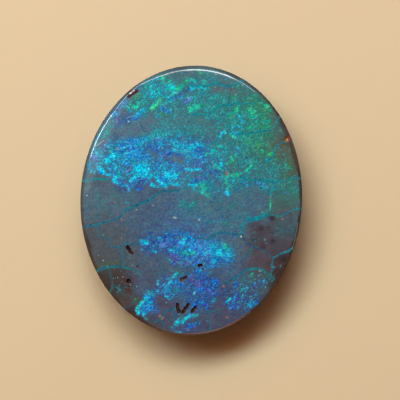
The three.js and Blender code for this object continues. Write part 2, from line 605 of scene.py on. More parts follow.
STROKES = """
mint .85 1.8 | 170.5,88 176.5,88
cyan .8 1.2 | 173,87 175,88.5
mint .85 1.3 | 163.3,77.5 163.6,82
mint .7 1.0 | 166,75 168,75.4
lime .9 1.3 | 187,81.6
green .55 1.1 | 180,85 186,82.5
green .55 1.1 | 185,76 187,79
mint .6 1.2 | 148,89.4 151,87
teal .6 1.2 | 142.6,94 143,98
aqua .65 1.2 | 152,91 153,96.5
mint .7 1.0 | 157.6,90 158.6,93
lime .9 1.4 | 152,108 156,105 160,100.6
mint .68 1.4 | 134,106 137.2,107
mint .55 1.1 | 130,103 129,106 128,109
mint .6 1.0 | 138,103 139,105.5
aqua .7 1.3 | 131,110.4
aqua .9 2.0 | 138.6,113 143,111
aqua .6 1.2 | 145,108.4 149,107
aqua .7 1.0 | 126,106.4 127.6,106.4
mint .62 1.0 | 172,96 176,93
aqua .52 1.2 | 168,97.4 172,98
teal .6 1.8 | 158,96 160,103
aqua .55 1.2 | 165,103.4 171,101
sky .75 2.3 | 162.5,110.5 168,111
moss .6 1.5 | 162,114 167,116
aqua .6 1.0 | 157,116.6 159,116
mint .5 1.0 | 175,115.2 177,115
navy .56 1.5 | 175,96.5 183,92 189,89.5
sky .5 1.3 | 170,99 180,95.5
iris .65 1.7 | 183.5,101.2 189.5,98
azure .7 1.5 | 112,117 116,113.5
sky .62 1.6 | 114,114 121,106 126,100.4
navy .72 1.1 | 111,119 120,117.6 127,119.4 137,118
violet .48 4.0 | 118,121 121,124 116,127.5
aqua .3 2.4 | 112.6,118.6 117,113.6
violet .36 3.2 | 126,116 132,117
sky .5 1.2 | 122,121.2 129,122.4
azure .6 1.2 | 133,120 138.5,117.4
azure .6 1.2 | 136,117 139.4,114
teal .5 .9 | 118.5,127 128,126
aqua .5 1.2 | 122,104 124,107
moss .5 2.3 | 132.5,99 139,94.6
aqua .55 1.4 | 150,82.6 160,78
mint .62 1.0 | 181,72.6
mint .52 1.2 | 190,78 194,80
teal .6 1.3 | 143,86.4 150,83
mint .5 1.2 | 168,84 170,80
mint .5 1.1 | 179,88 183,86
lime .8 1.2 | 199,71 200.4,73
green .7 1.0 | 203.5,68
mint .6 .9 | 206.5,73.5
aqua .8 1.2 | 191,80 193,81.4
cyan .85 1.1 | 191,89 193.4,88
cyan .8 1.2 | 201,86.8 204,87
mint .5 1.0 | 203,81.4
mint .85 2.2 | 190.5,109 196.5,107.4
green .52 1.8 | 200,104.6 204.4,104
green .72 1.3 | 240.2,88.4 241.4,92
green .5 2.2 | 231,96 236,98
green .35 1.5 | 255,95 257,98
green .62 3.2 | 263,105 269,108
lime .6 1.2 | 266,105.4 268,106.6
lime .6 1.2 | 238,107 236,112
green .7 1.6 | 236,112 232,116 230,119
teal .62 1.6 | 245,112 244,116
cyan .55 .9 | 239,116 240,119
cyan .75 1.0 | 241,121.4
aqua .6 1.0 | 244.2,121
cyan .7 1.0 | 241,128
azure .7 1.0 | 238,127
lime .85 .9 | 250,127.6
aqua .6 1.0 | 233,127 231,129.4
cyan .98 1.5 | 222.8,132.6 224.4,132.2
cyan .88 1.2 | 220.6,136.2 221.8,135.8
aqua .85 1.7 | 232.5,134 236.5,134
mint .6 1.2 | 231,137 235,137.4
mint .55 2.4 | 252,110 254,116
green .3 2.2 | 266,122 270,118
green .5 3.0 | 258,117 264,122
lime .92 1.2 | 280,131
green .6 1.0 | 287,135
green .5 1.2 | 283,127
green .62 1.4 | 246,144 250,138
green .52 2.0 | 256,143 258,147
lime .25 1.2 | 268,144 270,147.4
mint .72 1.2 | 262,151
lime .98 1.4 | 269.4,153.8 270.8,153.2
green .6 1.1 | 266.6,154.6
aqua .7 1.0 | 266.5,160.4 269,159.6
sky .62 1.2 | 238,150
mint .52 1.1 | 236,155
navy .5 1.6 | 246.5,158.4
lime .7 1.2 | 247,170.4 250,168 252,166
mint .7 1.0 | 231,157 232.8,160
mint .55 1.1 | 226.8,164.4 230.4,162.4
cyan .85 1.3 | 221.4,161 222.2,165
aqua .72 1.2 | 219.6,167
teal .55 1.2 | 222.2,169.6 223,176.6
mint .72 1.0 | 219,145.4 220.4,146
mint .7 1.2 | 212.6,151 214.4,149
mint .6 1.0 | 209,153.6 205,154.4
aqua .85 1.1 | 190,147 196,144.4 201,144
cyan .15 2.2 | 190.5,152 196,155
violet .36 3.0 | 199,160 200.5,166.5
violet .32 2.0 | 193,162 195,166
cyan .62 1.0 | 200,157.2
cyan .94 1.3 | 189,169.2 200,169.5
mint .42 1.4 | 214.6,165.4 218,169
green .52 1.6 | 206,165 209,168
green .52 1.5 | 284,160 287,168
green .36 2.2 | 285,150 288,157
moss .32 2.0 | 289,161 292,170
green .45 2.6 | 290,184 293.5,190
mint .6 1.2 | 283,187
teal .7 2.0 | 148,137 156,135 168,133
sky .5 2.6 | 130,140 148,138.4
cyan .6 1.0 | 105,146 107,146.6
pale .75 .9 | 108.8,147.2
deep .9 1.1 | 118,151 126,151 131,149.5 137,145
azure .7 1.1 | 128,148.5 133,147
lime .8 1.3 | 110,153
cyan .98 2.4 | 107.5,158 110,157 113,157
cyan .98 1.8 | 107.6,160.4
cyan .9 1.4 | 111.5,154.6
aqua .7 1.2 | 116,156 119.4,157
sky .55 2.6 | 120,145 130,143 138,141
sky .6 3.4 | 131,156 141,155
aqua .5 1.5 | 95,152 97,156
iris .72 2.0 | 92.5,156.6 96,158
aqua .6 1.2 | 99,157 101,159.4
aqua .6 1.2 | 96.6,162.6 98,165
aqua .6 2.0 | 89.5,164 91.6,170 95,172
cyan .98 1.6 | 99,167 101,169 104,172
azure .7 1.2 | 98.2,169.6 101,172.6
cyan .8 1.0 | 106,173 110,177
cyan .78 1.5 | 113,163.5 116,166 117,168.4
azure .8 1.1 | 124,164 128,164.4
navy .72 2.4 | 118,168 126,166.4 130,169
navy .5 1.5 | 110,162 116,161
violet .5 1.6 | 126,172 130,168
cyan .62 1.8 | 134,170 137,166.4 142,164 147,165
cyan 1.0 3.2 | 140,168.4 145,169
cyan .96 1.7 | 148,174 144,176 138,175 134,178 131,181
aqua .7 1.6 | 133,171 136,174.4
aqua .5 2.0 | 150,169 152,174
sky .6 1.6 | 143,178.6 147,179
navy .78 2.5 | 132.5,182 136,186 141,183 146,181
azure .8 1.1 | 138.8,188.6 141.4,189
cyan .98 1.8 | 114,177.4 115,181
aqua .8 1.2 | 116,182 119,184
azure .7 1.3 | 120,183 122,185
cyan .7 1.0 | 121,186 127,186.6 129.4,190.4
navy .72 2.2 | 117,188 121,192 124,190
teal .5 2.0 | 118,172 121,176 125,177
cyan .85 2.0 | 163,173.4 168,175 175,174
cyan 1.05 2.6 | 167,176.6 172,177
aqua .8 1.5 | 170,171
azure .6 1.2 | 177,176
cyan .7 1.2 | 156,176 158,178
aqua .6 1.1 | 159,173
cyan .92 1.3 | 152,184.6 154,185.4
cyan .88 1.5 | 156,181 160,182
cyan .92 1.5 | 162,184 166,185.4
cyan .85 1.3 | 170,184 173,183
cyan .72 1.2 | 177,184 179,185.4
aqua .7 1.0 | 157,186.6 165,187.4
azure .55 2.0 | 160,178.6 166,182
cyan .82 1.2 | 188.6,184.4 193,185.4
cyan .8 1.0 | 185,168.4 186,169
lime .7 .8 | 161,168.6
teal .5 1.2 | 164,169.6 168,167.6
green .5 1.0 | 186,174.6
aqua .6 1.8 | 173,142.4 177,148 174,149.4
aqua .64 1.8 | 181,145 185,148 183,150.4
mint .8 1.0 | 177,150.6
pale .7 1.1 | 186,151.2
aqua .6 1.2 | 188,147 190.4,149.4
aqua .7 1.0 | 159,142 161,144
violet .62 1.6 | 156,139 159,141
navy .5 2.0 | 152,143.4 156,146.4
deep .66 1.5 | 168,155.4 172,152.4 179,153.4
violet .6 1.5 | 164,156
violet .6 1.3 | 180,157
aqua .45 1.4 | 187,154.4 192,150.4
deep .82 1.3 | 192,182.4 200,180 206,177
violet .62 1.2 | 196,176.8 203,176.4 207,178
aqua .62 .9 | 198,175 204,175.4
cyan .6 1.2 | 193,186.4 196,184.4
mint .56 1.9 | 202,185.4 205,187.4 203,190
mint .62 .9 | 208.5,187.2
mint .46 1.9 | 203,192.4 209,195
green .62 1.2 | 209.4,195.2
deep .5 1.8 | 212,173.4 216.4,172
mint .5 1.3 | 226,180 227,183.4
teal .36 4 | 224,181 229,189
mint .45 1.3 | 228,186.4 227,190
cyan .92 1.4 | 226.5,191.4 226.6,193.6
aqua .6 1.2 | 230,193.4
cyan .72 1.0 | 233.4,181.2
mint .72 1.6 | 226,176.4 233,175.2 238,176.2
mint .72 .9 | 241,174
navy .5 1.8 | 236.6,189 236,192
sky .42 1.4 | 243,182 247,184
violet .6 1.2 | 255,177
sky .45 2.6 | 257,184 263,186
teal .5 3.6 | 184,203 189,206
teal .5 1.8 | 194,202 193,207
teal .55 1.5 | 234,203 232,208.4
teal .42 1.8 | 207,223.4 214,222
green .45 1.8 | 223,222 228,224
teal .5 1.2 | 231.4,226.4
teal .52 1.6 | 240,216 239,218.4
mint .4 1.1 | 262.4,212.6 266,210
teal .7 1.9 | 247.6,219.2 253,218.6 259.6,217.2 265.6,214.8
cyan .5 1.0 | 258,218.2 262,216.2
teal .5 1.4 | 246.6,216 249,221.4
teal .5 1.2 | 240.2,231 241,224.6
teal .35 1.5 | 279,222 281,230 279,236
green .12 4 | 247,227 251,241
green .32 1.3 | 284,226 283,238
teal .3 1.2 | 275.6,230 273.6,238
teal .5 1.2 | 247.4,215
green 0.28 1.5 | 104,201 101.6,204
green 0.25 1.8 | 99.6,196 98.4,202
green 0.25 1.8 | 114.6,194 117.6,199
teal .66 .9 | 124.4,201.2 128,204
green 0.22 1.4 | 103,208 99,213
cyan .88 1.4 | 141,241 143,243.4
cyan .96 1.5 | 146.4,240 145.8,243.4
aqua .7 .9 | 149,236.4
aqua .6 1.0 | 157,238.4 161,238
deep .9 1.1 | 154,242.4 158,241 163,240.4 168,240
cyan .7 .9 | 142.4,249.4
cyan .6 .9 | 153,251.4 155,252
iris .75 2.0 | 161,245.4 165,243
violet .62 1.9 | 170,244.4
azure .72 1.2 | 167,232 166,236.4
azure .5 1.1 | 176,231 178,233.4
cyan .88 1.8 | 181,241.4 184,240 183,243.4
aqua .72 1.5 | 185,235 184,238.4
azure .72 1.2 | 183,234 187.4,232
azure .6 1.4 | 190,236 192,240.4
aqua .76 1.1 | 169.4,250.4 173,249
green .55 .9 | 173.4,247.4
deep .66 1.0 | 179,247.4 186,248.4
cyan .72 .9 | 184,250.2 187,250
cyan .88 1.0 | 189,249.6 191,250.2
lime .62 .9 | 181.4,250
teal .6 1.0 | 177.4,253 181,253.2
lime .98 1.1 | 184,253.2 187,253.6
mint 1.05 .9 | 191,253.3 194,253.4
violet .85 2.3 | 172,256.4 175,259 174,262
violet .55 1.5 | 178,246
violet .52 2.1 | 184,264 189,262
cyan .6 .8 | 167,258.4 169,260
azure .72 .9 | 171,263 174,264.6
cyan .5 .8 | 186,257.4
sky .5 2.0 | 192,245.4 198,243.4
sky .4 2.6 | 199,247.4 203,252
cyan .82 1.3 | 204,253.6
aqua .62 1.6 | 210,245.4 216,244.4
azure .82 1.2 | 209,249.4
cyan .92 1.8 | 214,248.4 218,251 221,250
cyan .98 1.8 | 218,253.2 222,254
mint .98 1.0 | 219.6,255.2 222.4,255.6
mint .62 .9 | 226,254.6
mint .62 .9 | 213,252
mint .78 1.9 | 224,245 226,247.4 228,249.4
aqua .72 1.0 | 213,258.6 215,260
cyan .88 1.0 | 229,259.2
sky .72 1.9 | 223,258 226.4,260
aqua .6 1.2 | 228,253 230,256.4
teal .5 1.1 | 231,254 232.4,258
sky .72 1.6 | 208.6,266.4 212,266
azure .88 1.4 | 198.6,270.4 200,269.6
iris .55 2.6 | 200,257.4 208,256
azure .55 1.4 | 193,265 197,262
cyan .7 1.4 | 173,277 176,274.4
aqua .72 1.2 | 170.6,279.4
teal .62 1.3 | 177,273.4 181,273
cyan .62 1.0 | 157,280 158,285
cyan .64 1.2 | 169,282.4 171,281
cyan .68 1.1 | 165,288 166,286
aqua .62 1.4 | 169,286.4 166,291
cyan .72 1.1 | 167,296.4 169,298.5
azure .7 1.2 | 165,293
cyan .5 .8 | 157.5,290.3
green .5 1.4 | 177,290 175,294
violet .72 2.7 | 192,279.4 196,283 199,286
iris .62 2.3 | 208,290 212,292
azure .94 1.5 | 200.6,289.4 203,288
pale .85 1.0 | 195,293
azure .8 1.0 | 206,281 205,283
azure .94 1.1 | 214,281.4 214.4,282.6
azure .9 1.3 | 214.6,289 217,292 216,295
aqua .76 1.1 | 214,299 215,301 213,303
azure .94 1.5 | 196,303 195,306.4
azure .82 1.0 | 207,303 208,305
azure .72 1.1 | 201,302 203,304
navy .52 1.5 | 182,273 190,271
deep .72 1.3 | 195,271 198,275 199,281
deep .62 1.0 | 189,299 187,303
azure .4 1.0 | 181,285 183.4,284
cyan .62 1.3 | 147,292 146,296 145,299
aqua .88 1.4 | 152,291 153,294.4
mint .7 1.1 | 143.4,300.6 140,304 138,307 136,309.4
cyan .7 1.1 | 141.6,301.4 137.6,308
cyan .48 2.0 | 145,300.4 149,303
azure .72 1.4 | 148,300 152,299
cyan .82 1.3 | 136.6,311 139,313 137.4,314.4
cyan .88 1.2 | 144,312 144,315.4
sky .55 2.0 | 147,308 151,309.4
mint .72 .9 | 145.8,318.6 147.2,318.4
moss .62 1.8 | 136,298 135,302
cyan .42 1.7 | 171,328 176,323 181,320.4 188,318 193,315.4
cyan .88 1.0 | 177,321.5 178.4,321
cyan .82 .9 | 182.5,321.5
mint .62 1.0 | 183,318.4 184.4,319
cyan .78 1.1 | 186,318.5 190,316
mint .78 1.0 | 194,315.3 197,314
cyan .72 .8 | 174,331 176,331.4
cyan .92 1.1 | 179.6,331.4 180.6,331.4
azure .6 1.4 | 191,326.4 196,324.4 198.4,323.5
azure .85 .9 | 189,328
violet .5 2.2 | 184,328.4 195,330
azure .72 1.1 | 234,284 236,286.4
azure .66 1.0 | 238,283
cyan .8 1.0 | 243.6,288.6 245,290.6
teal .5 1.1 | 243,288.4 241,291.4
cyan .82 .9 | 247.6,287.2
azure .9 1.1 | 236,293 236.6,296.4
azure .6 1.1 | 235,297 234,300.4
cyan .9 .95 | 228,301 230,299.6
azure .82 1.0 | 227,303
azure .85 .95 | 229,307.5 232,306
azure .66 1.1 | 233,303 234.4,306
azure .72 .9 | 237,309
cyan .82 .8 | 242.5,296
teal .5 1.0 | 245,303 244,307
cyan .9 1.0 | 249,305.5 250,307
azure .72 1.0 | 247,310
aqua .62 1.0 | 252,303 253.4,304
azure .95 1.3 | 255.4,302.8 257,303.4
aqua .72 1.0 | 255.5,295
green .5 .9 | 258.4,295
teal .62 1.0 | 250,281 252.4,281
mint .45 .9 | 251,276 253.4,275.5
azure .72 .9 | 255,285 256,286.6
sky .82 .9 | 258.5,280.5
cyan .96 1.1 | 264.6,280.4 265.6,280.2
sky .72 1.1 | 263,284 262,286.4
teal .72 1.0 | 267,283.5
teal .66 1.0 | 264,289 263,292.4
green .62 1.0 | 261,277
teal .4 1.0 | 268,275 272,279
cream .85 1.0 | 259.6,270.6 261,270.9
navy .6 1.4 | 233,286 231,290.4
navy .6 1.4 | 240,313.4 242,311
cyan .8 1.2 | 272,268.4 273.4,269
teal .7 1.2 | 272,264 271,266.4
teal .5 1.0 | 279.5,265 279.6,268.4
azure .92 1.0 | 242.5,247.5
azure .72 .8 | 234,237.5
teal .62 .8 | 238,266
mint .6 .9 | 103,234.4
teal .5 .9 | 136.4,225.6
"""

# Quiet gaps, where no colour plays: strength, half width, points.
GAPS = """
.75 5 | 116,133 128,129 142,124 154,120
.5 3 | 132,136 148,131
.7 3.5 | 150,150 156,156
.7 3 | 172,160 182,161
.6 3 | 100,143 105,142
.6 3 | 98,176 106,178
.85 5 | 213,89.6 221,89.4
.8 4 | 229,88 233,91
.5 4 | 236,92 242,94
.3 6 | 285,143 292,158 295,170
.65 5 | 274,118 279,129
.35 5 | 271,145 279,149
.4 5 | 198,120 209,122
.35 4 | 215,125 222,127
.3 4 | 208,296 212,301
.6 3 | 219,276 222,292
.65 4 | 217,291 222,312
.6 3 | 162,300 172,302
.7 3.5 | 160,298 164,303
.6 3 | 212,176 219,186
.5 3 | 190,172 200,173
.6 3 | 150,282 152,288
"""

# A fine dust of opal in the quiet stone: amount, half width, points.
DUST = """
2.0 9 | 236,292 256,286
1.5 7 | 238,302 250,300
1.2 6 | 262,284 268,276
.9 5 | 231,298 234,306
.45 7 | 278,224 284,238
.4 9 | 254,232 268,246
.2 5 | 247,226 250,240 258,246
.5 6 | 262,212 250,216
.45 7 | 115,280 124,290
.4 8 | 108,265 132,264
.6 8 | 284,203 292,214
.25 14 | 96,206 124,202
.25 14 | 215,212 240,226
.5 9 | 206,316 226,300
.4 9 | 150,312 176,316
.5 8 | 206,278 222,268
.7 9 | 282,160 289,186
.5 7 | 285,148 292,170
.35 6 | 272,140 282,150
.6 6 | 206,76 226,78 246,88
.5 7 | 236,92 256,98
.6 8 | 214,90 232,94
"""

# Veins of opal: colour, strength, half width in pixels, points. "<" or ">" carries the first or
# last end over the rim and down the flank. The pale line inside the right rim is no vein but a painted highlight, light
# caught along the edge.
VEINS = """
v_sea .95 1.05 | < 84,181 94.5,179 108,179
v_left .95 1.05 | < 84.5,226.6 95,225 102,223 113,220 120.5,217
v_left .9 .8 | 120.5,217 123.6,212 125,210
v_left 1 1.35 | 125,210 133.5,206.5 141,203 148,201 152.6,197.4
v_left .95 1.15 | 152.6,197.4 157,193.6 164,191.4 172,190.6 181,190
v_sea .7 .8 | 181,190 186,187 190,186
v_left .8 .7 | 98.7,225 98.4,231 98.7,235 100.6,237.5 108,237.5 110,244 111.7,247
v_left .9 .75 | 111.7,247 119,247.2 123,245 126,243 132,244 139,244.5
v_left .8 .85 | 119,247.7 121,252 122,255 123.4,260 123.6,265
v_stain .5 1.3 | 98.6,265.6 104,263.8 110,263.2 119,262.8
v_cyan .95 1.1 | < 99.6,269.6 106.7,267.4 112,266.8 116,266.6
v_cyan .95 .9 | 116,266.6 122,266.8 126.6,267.6 132.7,270
v_cyan .8 .65 | 132.7,270 138,272.8 141,276
v_grey .6 1.1 | 112.4,284.6 111.4,279 110,274 109,269
v_sea .6 .9 | < 110.6,291 112.4,287.6 112.6,284.6
v_ink .5 .8 | 122.6,307.4 127,308 131,306 134,303
v_sea .95 1.1 | 240,176.6 246.6,179.6 254,180.2 264,180.2 274,182
v_teal .72 .95 | 274,182 284,180.4 289.5,179 295,177 299,178.4 >
v_teal .85 .9 | 276.5,183.4 275,187.4 271,192.6 270.3,198
v_grass .9 .8 | 270.3,198 270.4,203 270.5,207 269.4,210.6
v_teal .8 .8 | 301,209.4 296.4,208.2 292,210.4 289.5,211.7 284,214.6 280,216.7 <
v_sea .55 .8 | 280,216.7 276,215.4 272.6,214.8 266.5,214.8
v_teal 1 1.7 | 267,214.6 262,216.6 259,218.6 252,219 246.6,220
v_teal .8 1.1 | 246.6,220 243.4,223.4 241.4,226.4 240.5,230 242,233
v_left .95 1.1 | 242,234.6 236,234.8 231,234.2 226,232 223.7,231.6 218,233.4 215,234.7 210,238 206.8,239.7
v_left .7 .8 | 206.8,239.7 202,238 199,237.6 194.6,238.4
v_ink .85 .8 | 242.8,235.4 244,239 246.6,242 252,246 261,249 269,255 272.6,258.4
v_sea .8 .8 | 272.6,258.4 276,255.6 279.5,254
v_teal .9 .85 | 279.5,254 284,252.4 288,251.2 292.5,248 >
v_left .9 .8 | 252,246 251,250 249,253 245.6,256.4 243.6,258.4
v_ink .75 .8 | 241.6,260 242,263 244.6,267.4
v_left .9 1.1 | 223,284.4 228,282 233,279 238,275.4 243.6,272 247,270
v_sea .9 1.1 | 247,270 251,269 259,268.7 263.4,270.6 265,273
v_sea .5 .8 | 272.6,259 272,265 273,269 270.3,273 271.6,277
v_left .6 .6 | 204,202 212,202.4 218,202 221,205.6 222,208.7 222.6,213 223,217
v_left .55 .6 | 222,220 230,219.4 236,218.2 241,217.6
v_sea .9 1.2 | 189,85 195,86 199,86.6 204,86.2 208,85.4 213,83.5 219,83.5 222,85.6
v_sea .95 1.1 | 222,85.6 228,86.4 233,85.4 238,83 241,81 243.6,80 >
v_sea .85 .9 | 193,114 199,115 205,115 210,113.6 212,112
v_sea .95 1.2 | 212,112 218,107.6 222,105 226,105.4 229,105
v_sea .8 1.0 | 231,105 236,103.2 241,103.4 248,104 254,103.6
v_ink .6 .7 | 230.6,88 229.8,95 228.4,101 228.3,104.7
v_sea .78 .9 | < 280,116.4 277.6,119 276,122.6 273.4,127 269.6,130.4
v_sea .85 1.1 | 269.6,130.4 262,131.5 256,132 248,133.6 241,133.6 236,134.6
v_sea .7 .9 | 286,141 281,143 275.7,146.4
v_teal .9 1.0 | 275.7,146.4 274.6,150 274,153.6 272,158 266.5,161.2
v_sea .6 .9 | 205,150 208,146 213,143.2 220,144
v_left .9 .8 | 154.6,322.4 160,319.6 162,315.6 164.4,312 169,310 175,308.4
v_cyan .75 .8 | 173.4,312 175.2,315 175,318 173.6,320
v_left .7 .7 | < 163.6,329 163,325 162.4,320.6
v_left .55 .7 | 205,314 210,311.6 215,310 223,309.4
v_left .6 .65 | 208,315 209.4,319 210,323 210,330.6 >
v_ink .6 .7 | 203,286 210,286 217,287.4 222,287
v_ink .75 .6 | 139.6,122 142,127 145,131.8
v_left .5 .6 | 126,193 127.6,197 130,201 132,204.6
v_left .42 .6 | 155,203 156.4,209 158.6,213.6
v_left .4 .6 | 97,206 96.4,214 97.6,221
v_ink .5 .8 | 290,142 295,141.4 299,142 >
v_ink .5 .6 | 270,236 276,231 279.4,226 280,221
v_pale .4 .45 | 297.4,222 296.6,230 295.2,238 293.4,246
v_left .5 .7 | 175,266 184,268 192,266.6
v_left .4 .7 | 152,275 160,272.4 168,271
"""

# Small spots: colour, radius in pixels across the flow and along it, x, y. The two chip spots in the nick are painted
# highlights, glare where the edge catches the light.
# The white stroke from 95.4,146.2 to 104.4,140.2 on the left rim is a painted highlight, a second arm of the line of
# light there.
SPOTS = """
pink 1.1 | 159.3,316.2 160.0,315.2
pink .9 | 162.0,319.0 163.6,317.6
pink 1.25 | 223.4,285.8 223.8,286.4
pink .9 | 226.4,316.6 227.8,317.8
pink 1.3 | 226.6,172.2 227.4,174.6
white .9 | 173.6,217.4 175.8,217.8
white .8 | 198.6,219.2 199.6,220.0
white .8 | 86.6,195.4 87.0,195.4
white .4 | 98.4,255.2 98.5,255.3
white .6 | 103.0,260.6 103.6,260.4
pink .8 | 121.6,238.0 121.6,238.4
pink .8 | 121.6,218.8 122.2,220.0
pink .7 | 115.0,202.2 115.6,202.6
white .6 | 153.0,205.4 153.2,205.5
white .6 | 136.4,209.4 136.5,209.6
pink .8 | 281.8,218.8 283.0,219.4
cream .8 | 241.0,236.4 241.3,236.6
cream .5 | 128.2,121.3 128.7,121.5
pink .7 | 166.2,188.4 166.6,188.6
white .5 | 117.4,277.4 117.7,277.6
white .45 | 123.0,276.6 123.0,276.8
white .45 | 130.2,285.1 130.8,285.5
rust .45 | 112.6,281.2 112.8,281.8
russet .8 | 123.2,276.6 124.0,277.2
russet 1.3 | 123.8,279.0 125.4,281.0
russet .6 | 122.0,278.4 122.2,278.6
russet 1.3 | 126.0,289.2 127.8,290.6
russet 1.1 | 129.4,289.8 131.0,291.0
russet .9 | 130.0,293.6 132.0,294.4
russet .5 | 125.4,292.2 125.6,292.4
white .4 | 113.4,278.2 113.6,278.2
white .35 | 121.6,282.0 121.8,282.2
teal .7 | 119.6,289.6 120.4,290.4
v_cyan .4 | 124.4,287.2 127.0,286.8
pale .35 | 117.4,292.0 117.6,292.2
pale .4 | 136.6,286.6 136.8,286.6
teal .45 | 118.0,288.2 118.2,288.4
white .6 | 166.2,302.4 166.3,302.5
pink .6 | 215.0,212.0 215.1,212.0
white .6 | 215.4,74.0 216.4,74.4
pink 1.0 | 117.0,148.4 117.6,148.6
pale .8 | 123.2,147.8 124.4,147.4
pink .9 | 270.4,197.0 270.5,197.2
lime .7 | 270.6,203.6 270.2,207.0
white .42 | 95.4,146.2 104.4,140.2
chip .7 | 129.9,93.6 131.0,92.8
chip .5 | 133.2,91.2 134.4,90.3
"""


def parse(text):
    for line in text.strip().splitlines():
        head, tail = line.split("|")
        yield head.split(), tail.split()


def points(words):
    return np.array([[float(v) for v in w.split(",")] for w in words])


def to_line(px, py, pts):
    d = np.full(len(px), 1e9)
    if len(pts) == 1:
        pts = np.repeat(pts, 2, 0)
    for (x0, y0), (x1, y1) in zip(pts[:-1], pts[1:]):
        vx, vy = x1 - x0, y1 - y0
        t = np.clip(((px - x0) * vx + (py - y0) * vy) / max(vx * vx + vy * vy, 1e-9), 0, 1)
        d = np.minimum(d, np.hypot(px - x0 - t * vx, py - y0 - t * vy))
    return d


# ------------------------------------------------------------------ painting the fields
# A point on the flank takes its colour from the rim above it, a little further round with depth.
EDGE_PULL = 0.965
rim_r = np.where(flank, EDGE_PULL, np.minimum(R, 0.995))
down = np.clip((GIRDLE_Z - FORM[:, 2]) / GIRDLE_Z, 0, 1) * flank
rim_a = A + 0.10 * down + 0.03 * noise(FORM, 0.9, 5) * flank
paint_at = place(np.where(flank, rim_a, A), rim_r, np.where(flank, EDGE_Z, FORM[:, 2]))
paint_at[~flank] = FORM[~flank]
px, py = in_view(paint_at)
wob = flat(px, py)
wx = px + 1.0 * noise(wob, 7.0, 1) + 0.9 * noise(wob, 3.0, 2)
wy = py + 1.0 * noise(wob, 7.0, 3) + 0.9 * noise(wob, 3.0, 4)

total, body = np.full(n_verts, 1e-9), np.zeros((n_verts, 3))
words = BODY.split()
for i in range(0, len(words), 4):
    x, y, reach, name = float(words[i]), float(words[i + 1]), float(words[i + 2]), words[i + 3]
    w = np.exp(-(((wx - x) ** 2 + (wy - y) ** 2) / (2 * (0.75 * reach) ** 2)))
    w += 1e-4 * np.exp(-np.hypot(wx - x, wy - y) / 15)
    total += w
    body += w[:, None] * colour(name)
body /= total[:, None]

left, weight, flash_colour = np.ones(n_verts), np.full(n_verts, 1e-6), np.zeros((n_verts, 3))
flash_colour += 1e-6 * colour("teal")
for text, power in ((WASHES, 1.0), (STROKES, 0.58)):
    for (name, strength, half), tail in parse(text):
        pts, strength, half = points(tail), float(strength) * power, float(half)
        reach = half * 2.6
        near = (
            (wx > pts[:, 0].min() - reach)
            & (wx < pts[:, 0].max() + reach)
            & (wy > pts[:, 1].min() - reach)
            & (wy < pts[:, 1].max() + reach)
        )
        soft = max(half, 0.95)
        f = strength * np.exp(-((to_line(wx[near], wy[near], pts) / (1.22 * soft)) ** 2.2))
        left[near] *= 1 - np.minimum(f, 0.995)
        w = f**1.6 / (0.35 + 0.16 * half)
        weight[near] += w
        flash_colour[near] += w[:, None] * colour(name)
flash = 1 - left
flash_colour /= weight[:, None]
for (strength, half), tail in parse(GAPS):
    flash *= 1 - float(strength) * np.exp(-((to_line(wx, wy, points(tail)) / float(half)) ** 2))

dusting = np.full(n_verts, 0.04)
for (amount, half), tail in parse(DUST):
    dusting += float(amount) * np.exp(-((to_line(wx, wy, points(tail)) / float(half)) ** 2))

# The rim: angle in the reference view, colour, width in pixels, strength. The copper and rose entries at the lower
# right are a painted highlight, the light that the rounded edge catches there.
RIM = [
    (-12, "dark_iron", 2.6, 0.9),
    (14, "dark_iron", 2.6, 0.9),
    (22, "iron", 5.6, 0.75),
    (33, "iron", 5.2, 0.8),
    (44, "iron", 3.6, 0.9),
    # the slate bands over the upper rim are partly painted shade on the steep wall
    (57, "rim_slate", 3.0, 0.8),
    (70, "rim_slate", 3.4, 0.85),
    (84, "rim_teal", 3.2, 0.75),
    (95, "rim_slate", 3.4, 0.8),
    (108, "rim_aqua", 3.0, 0.7),
    (120, "rim_blue", 3.0, 0.7),
    (136, "rim_sea", 3.0, 0.65),
    (152, "rim_blue", 3.0, 0.7),
    (172, "rim_slate", 3.0, 0.7),
    (186, "rim_grey", 3.2, 0.7),
    (204, "iron", 4.4, 0.9),
    (225, "iron", 3.6, 0.95),
    (250, "iron", 2.4, 0.9),
    # painted highlight: the line of light caught by the lower right edge
    (262, "copper", 1.5, 0.8),
    (285, "rose", 1.5, 0.9),
    (299, "umber", 2.0, 0.8),
    (311, "iron", 2.6, 0.8),
    (322, "iron", 4.2, 0.85),
    (336, "iron", 4.6, 0.85),
]
inside = np.clip((1 - R) * ROUND / MM_PER_PX, 0, 99)  # pixels in from the outline
vx, vy = in_view(FORM)
view_angle = np.degrees(np.arctan2(MIDDLE[1] - vy, vx - MIDDLE[0])) % 360
rim_deg = np.array([a % 360 for a, *_ in RIM])
order = np.argsort(rim_deg)


def round_rim(values):
    v = np.asarray(values, float)[order]
    return np.interp(view_angle, rim_deg[order], v, period=360)


rim_colour = np.stack([round_rim([colour(c)[k] for _, c, _, _ in RIM]) for k in range(3)], 1)
# below the edge the painted highlight of the copper and rose entries gives way to plain umber
plain = {"copper": "umber", "rose": "umber"}
flank_rgb = np.stack([round_rim([colour(plain.get(c, c))[k] for _, c, _, _ in RIM]) for k in range(3)], 1)
below_rim = smooth(0.18, 0.5, EDGE_Z - FORM[:, 2])[:, None]
rim_colour = rim_colour * (1 - below_rim) + flank_rgb * below_rim
rim_width = round_rim([w for _, _, w, _ in RIM]) * (1 + 0.35 * noise(FORM, 0.8, 11))
rim_mask = round_rim([s for *_, s in RIM]) * (1 - smooth(0.55, 1.15, inside / rim_width))
rim_mask = np.where(flank, round_rim([s for *_, s in RIM]), rim_mask)
body = body * (1 - rim_mask[:, None]) + rim_colour * rim_mask[:, None]
body *= (1 - 0.4 * (1 - smooth(0.2, 1.5, inside)) * (1 - smooth(0.15, 0.72, EDGE_Z - FORM[:, 2])))[:, None]  # a darker line at the outline
flash *= 1 - 0.85 * rim_mask

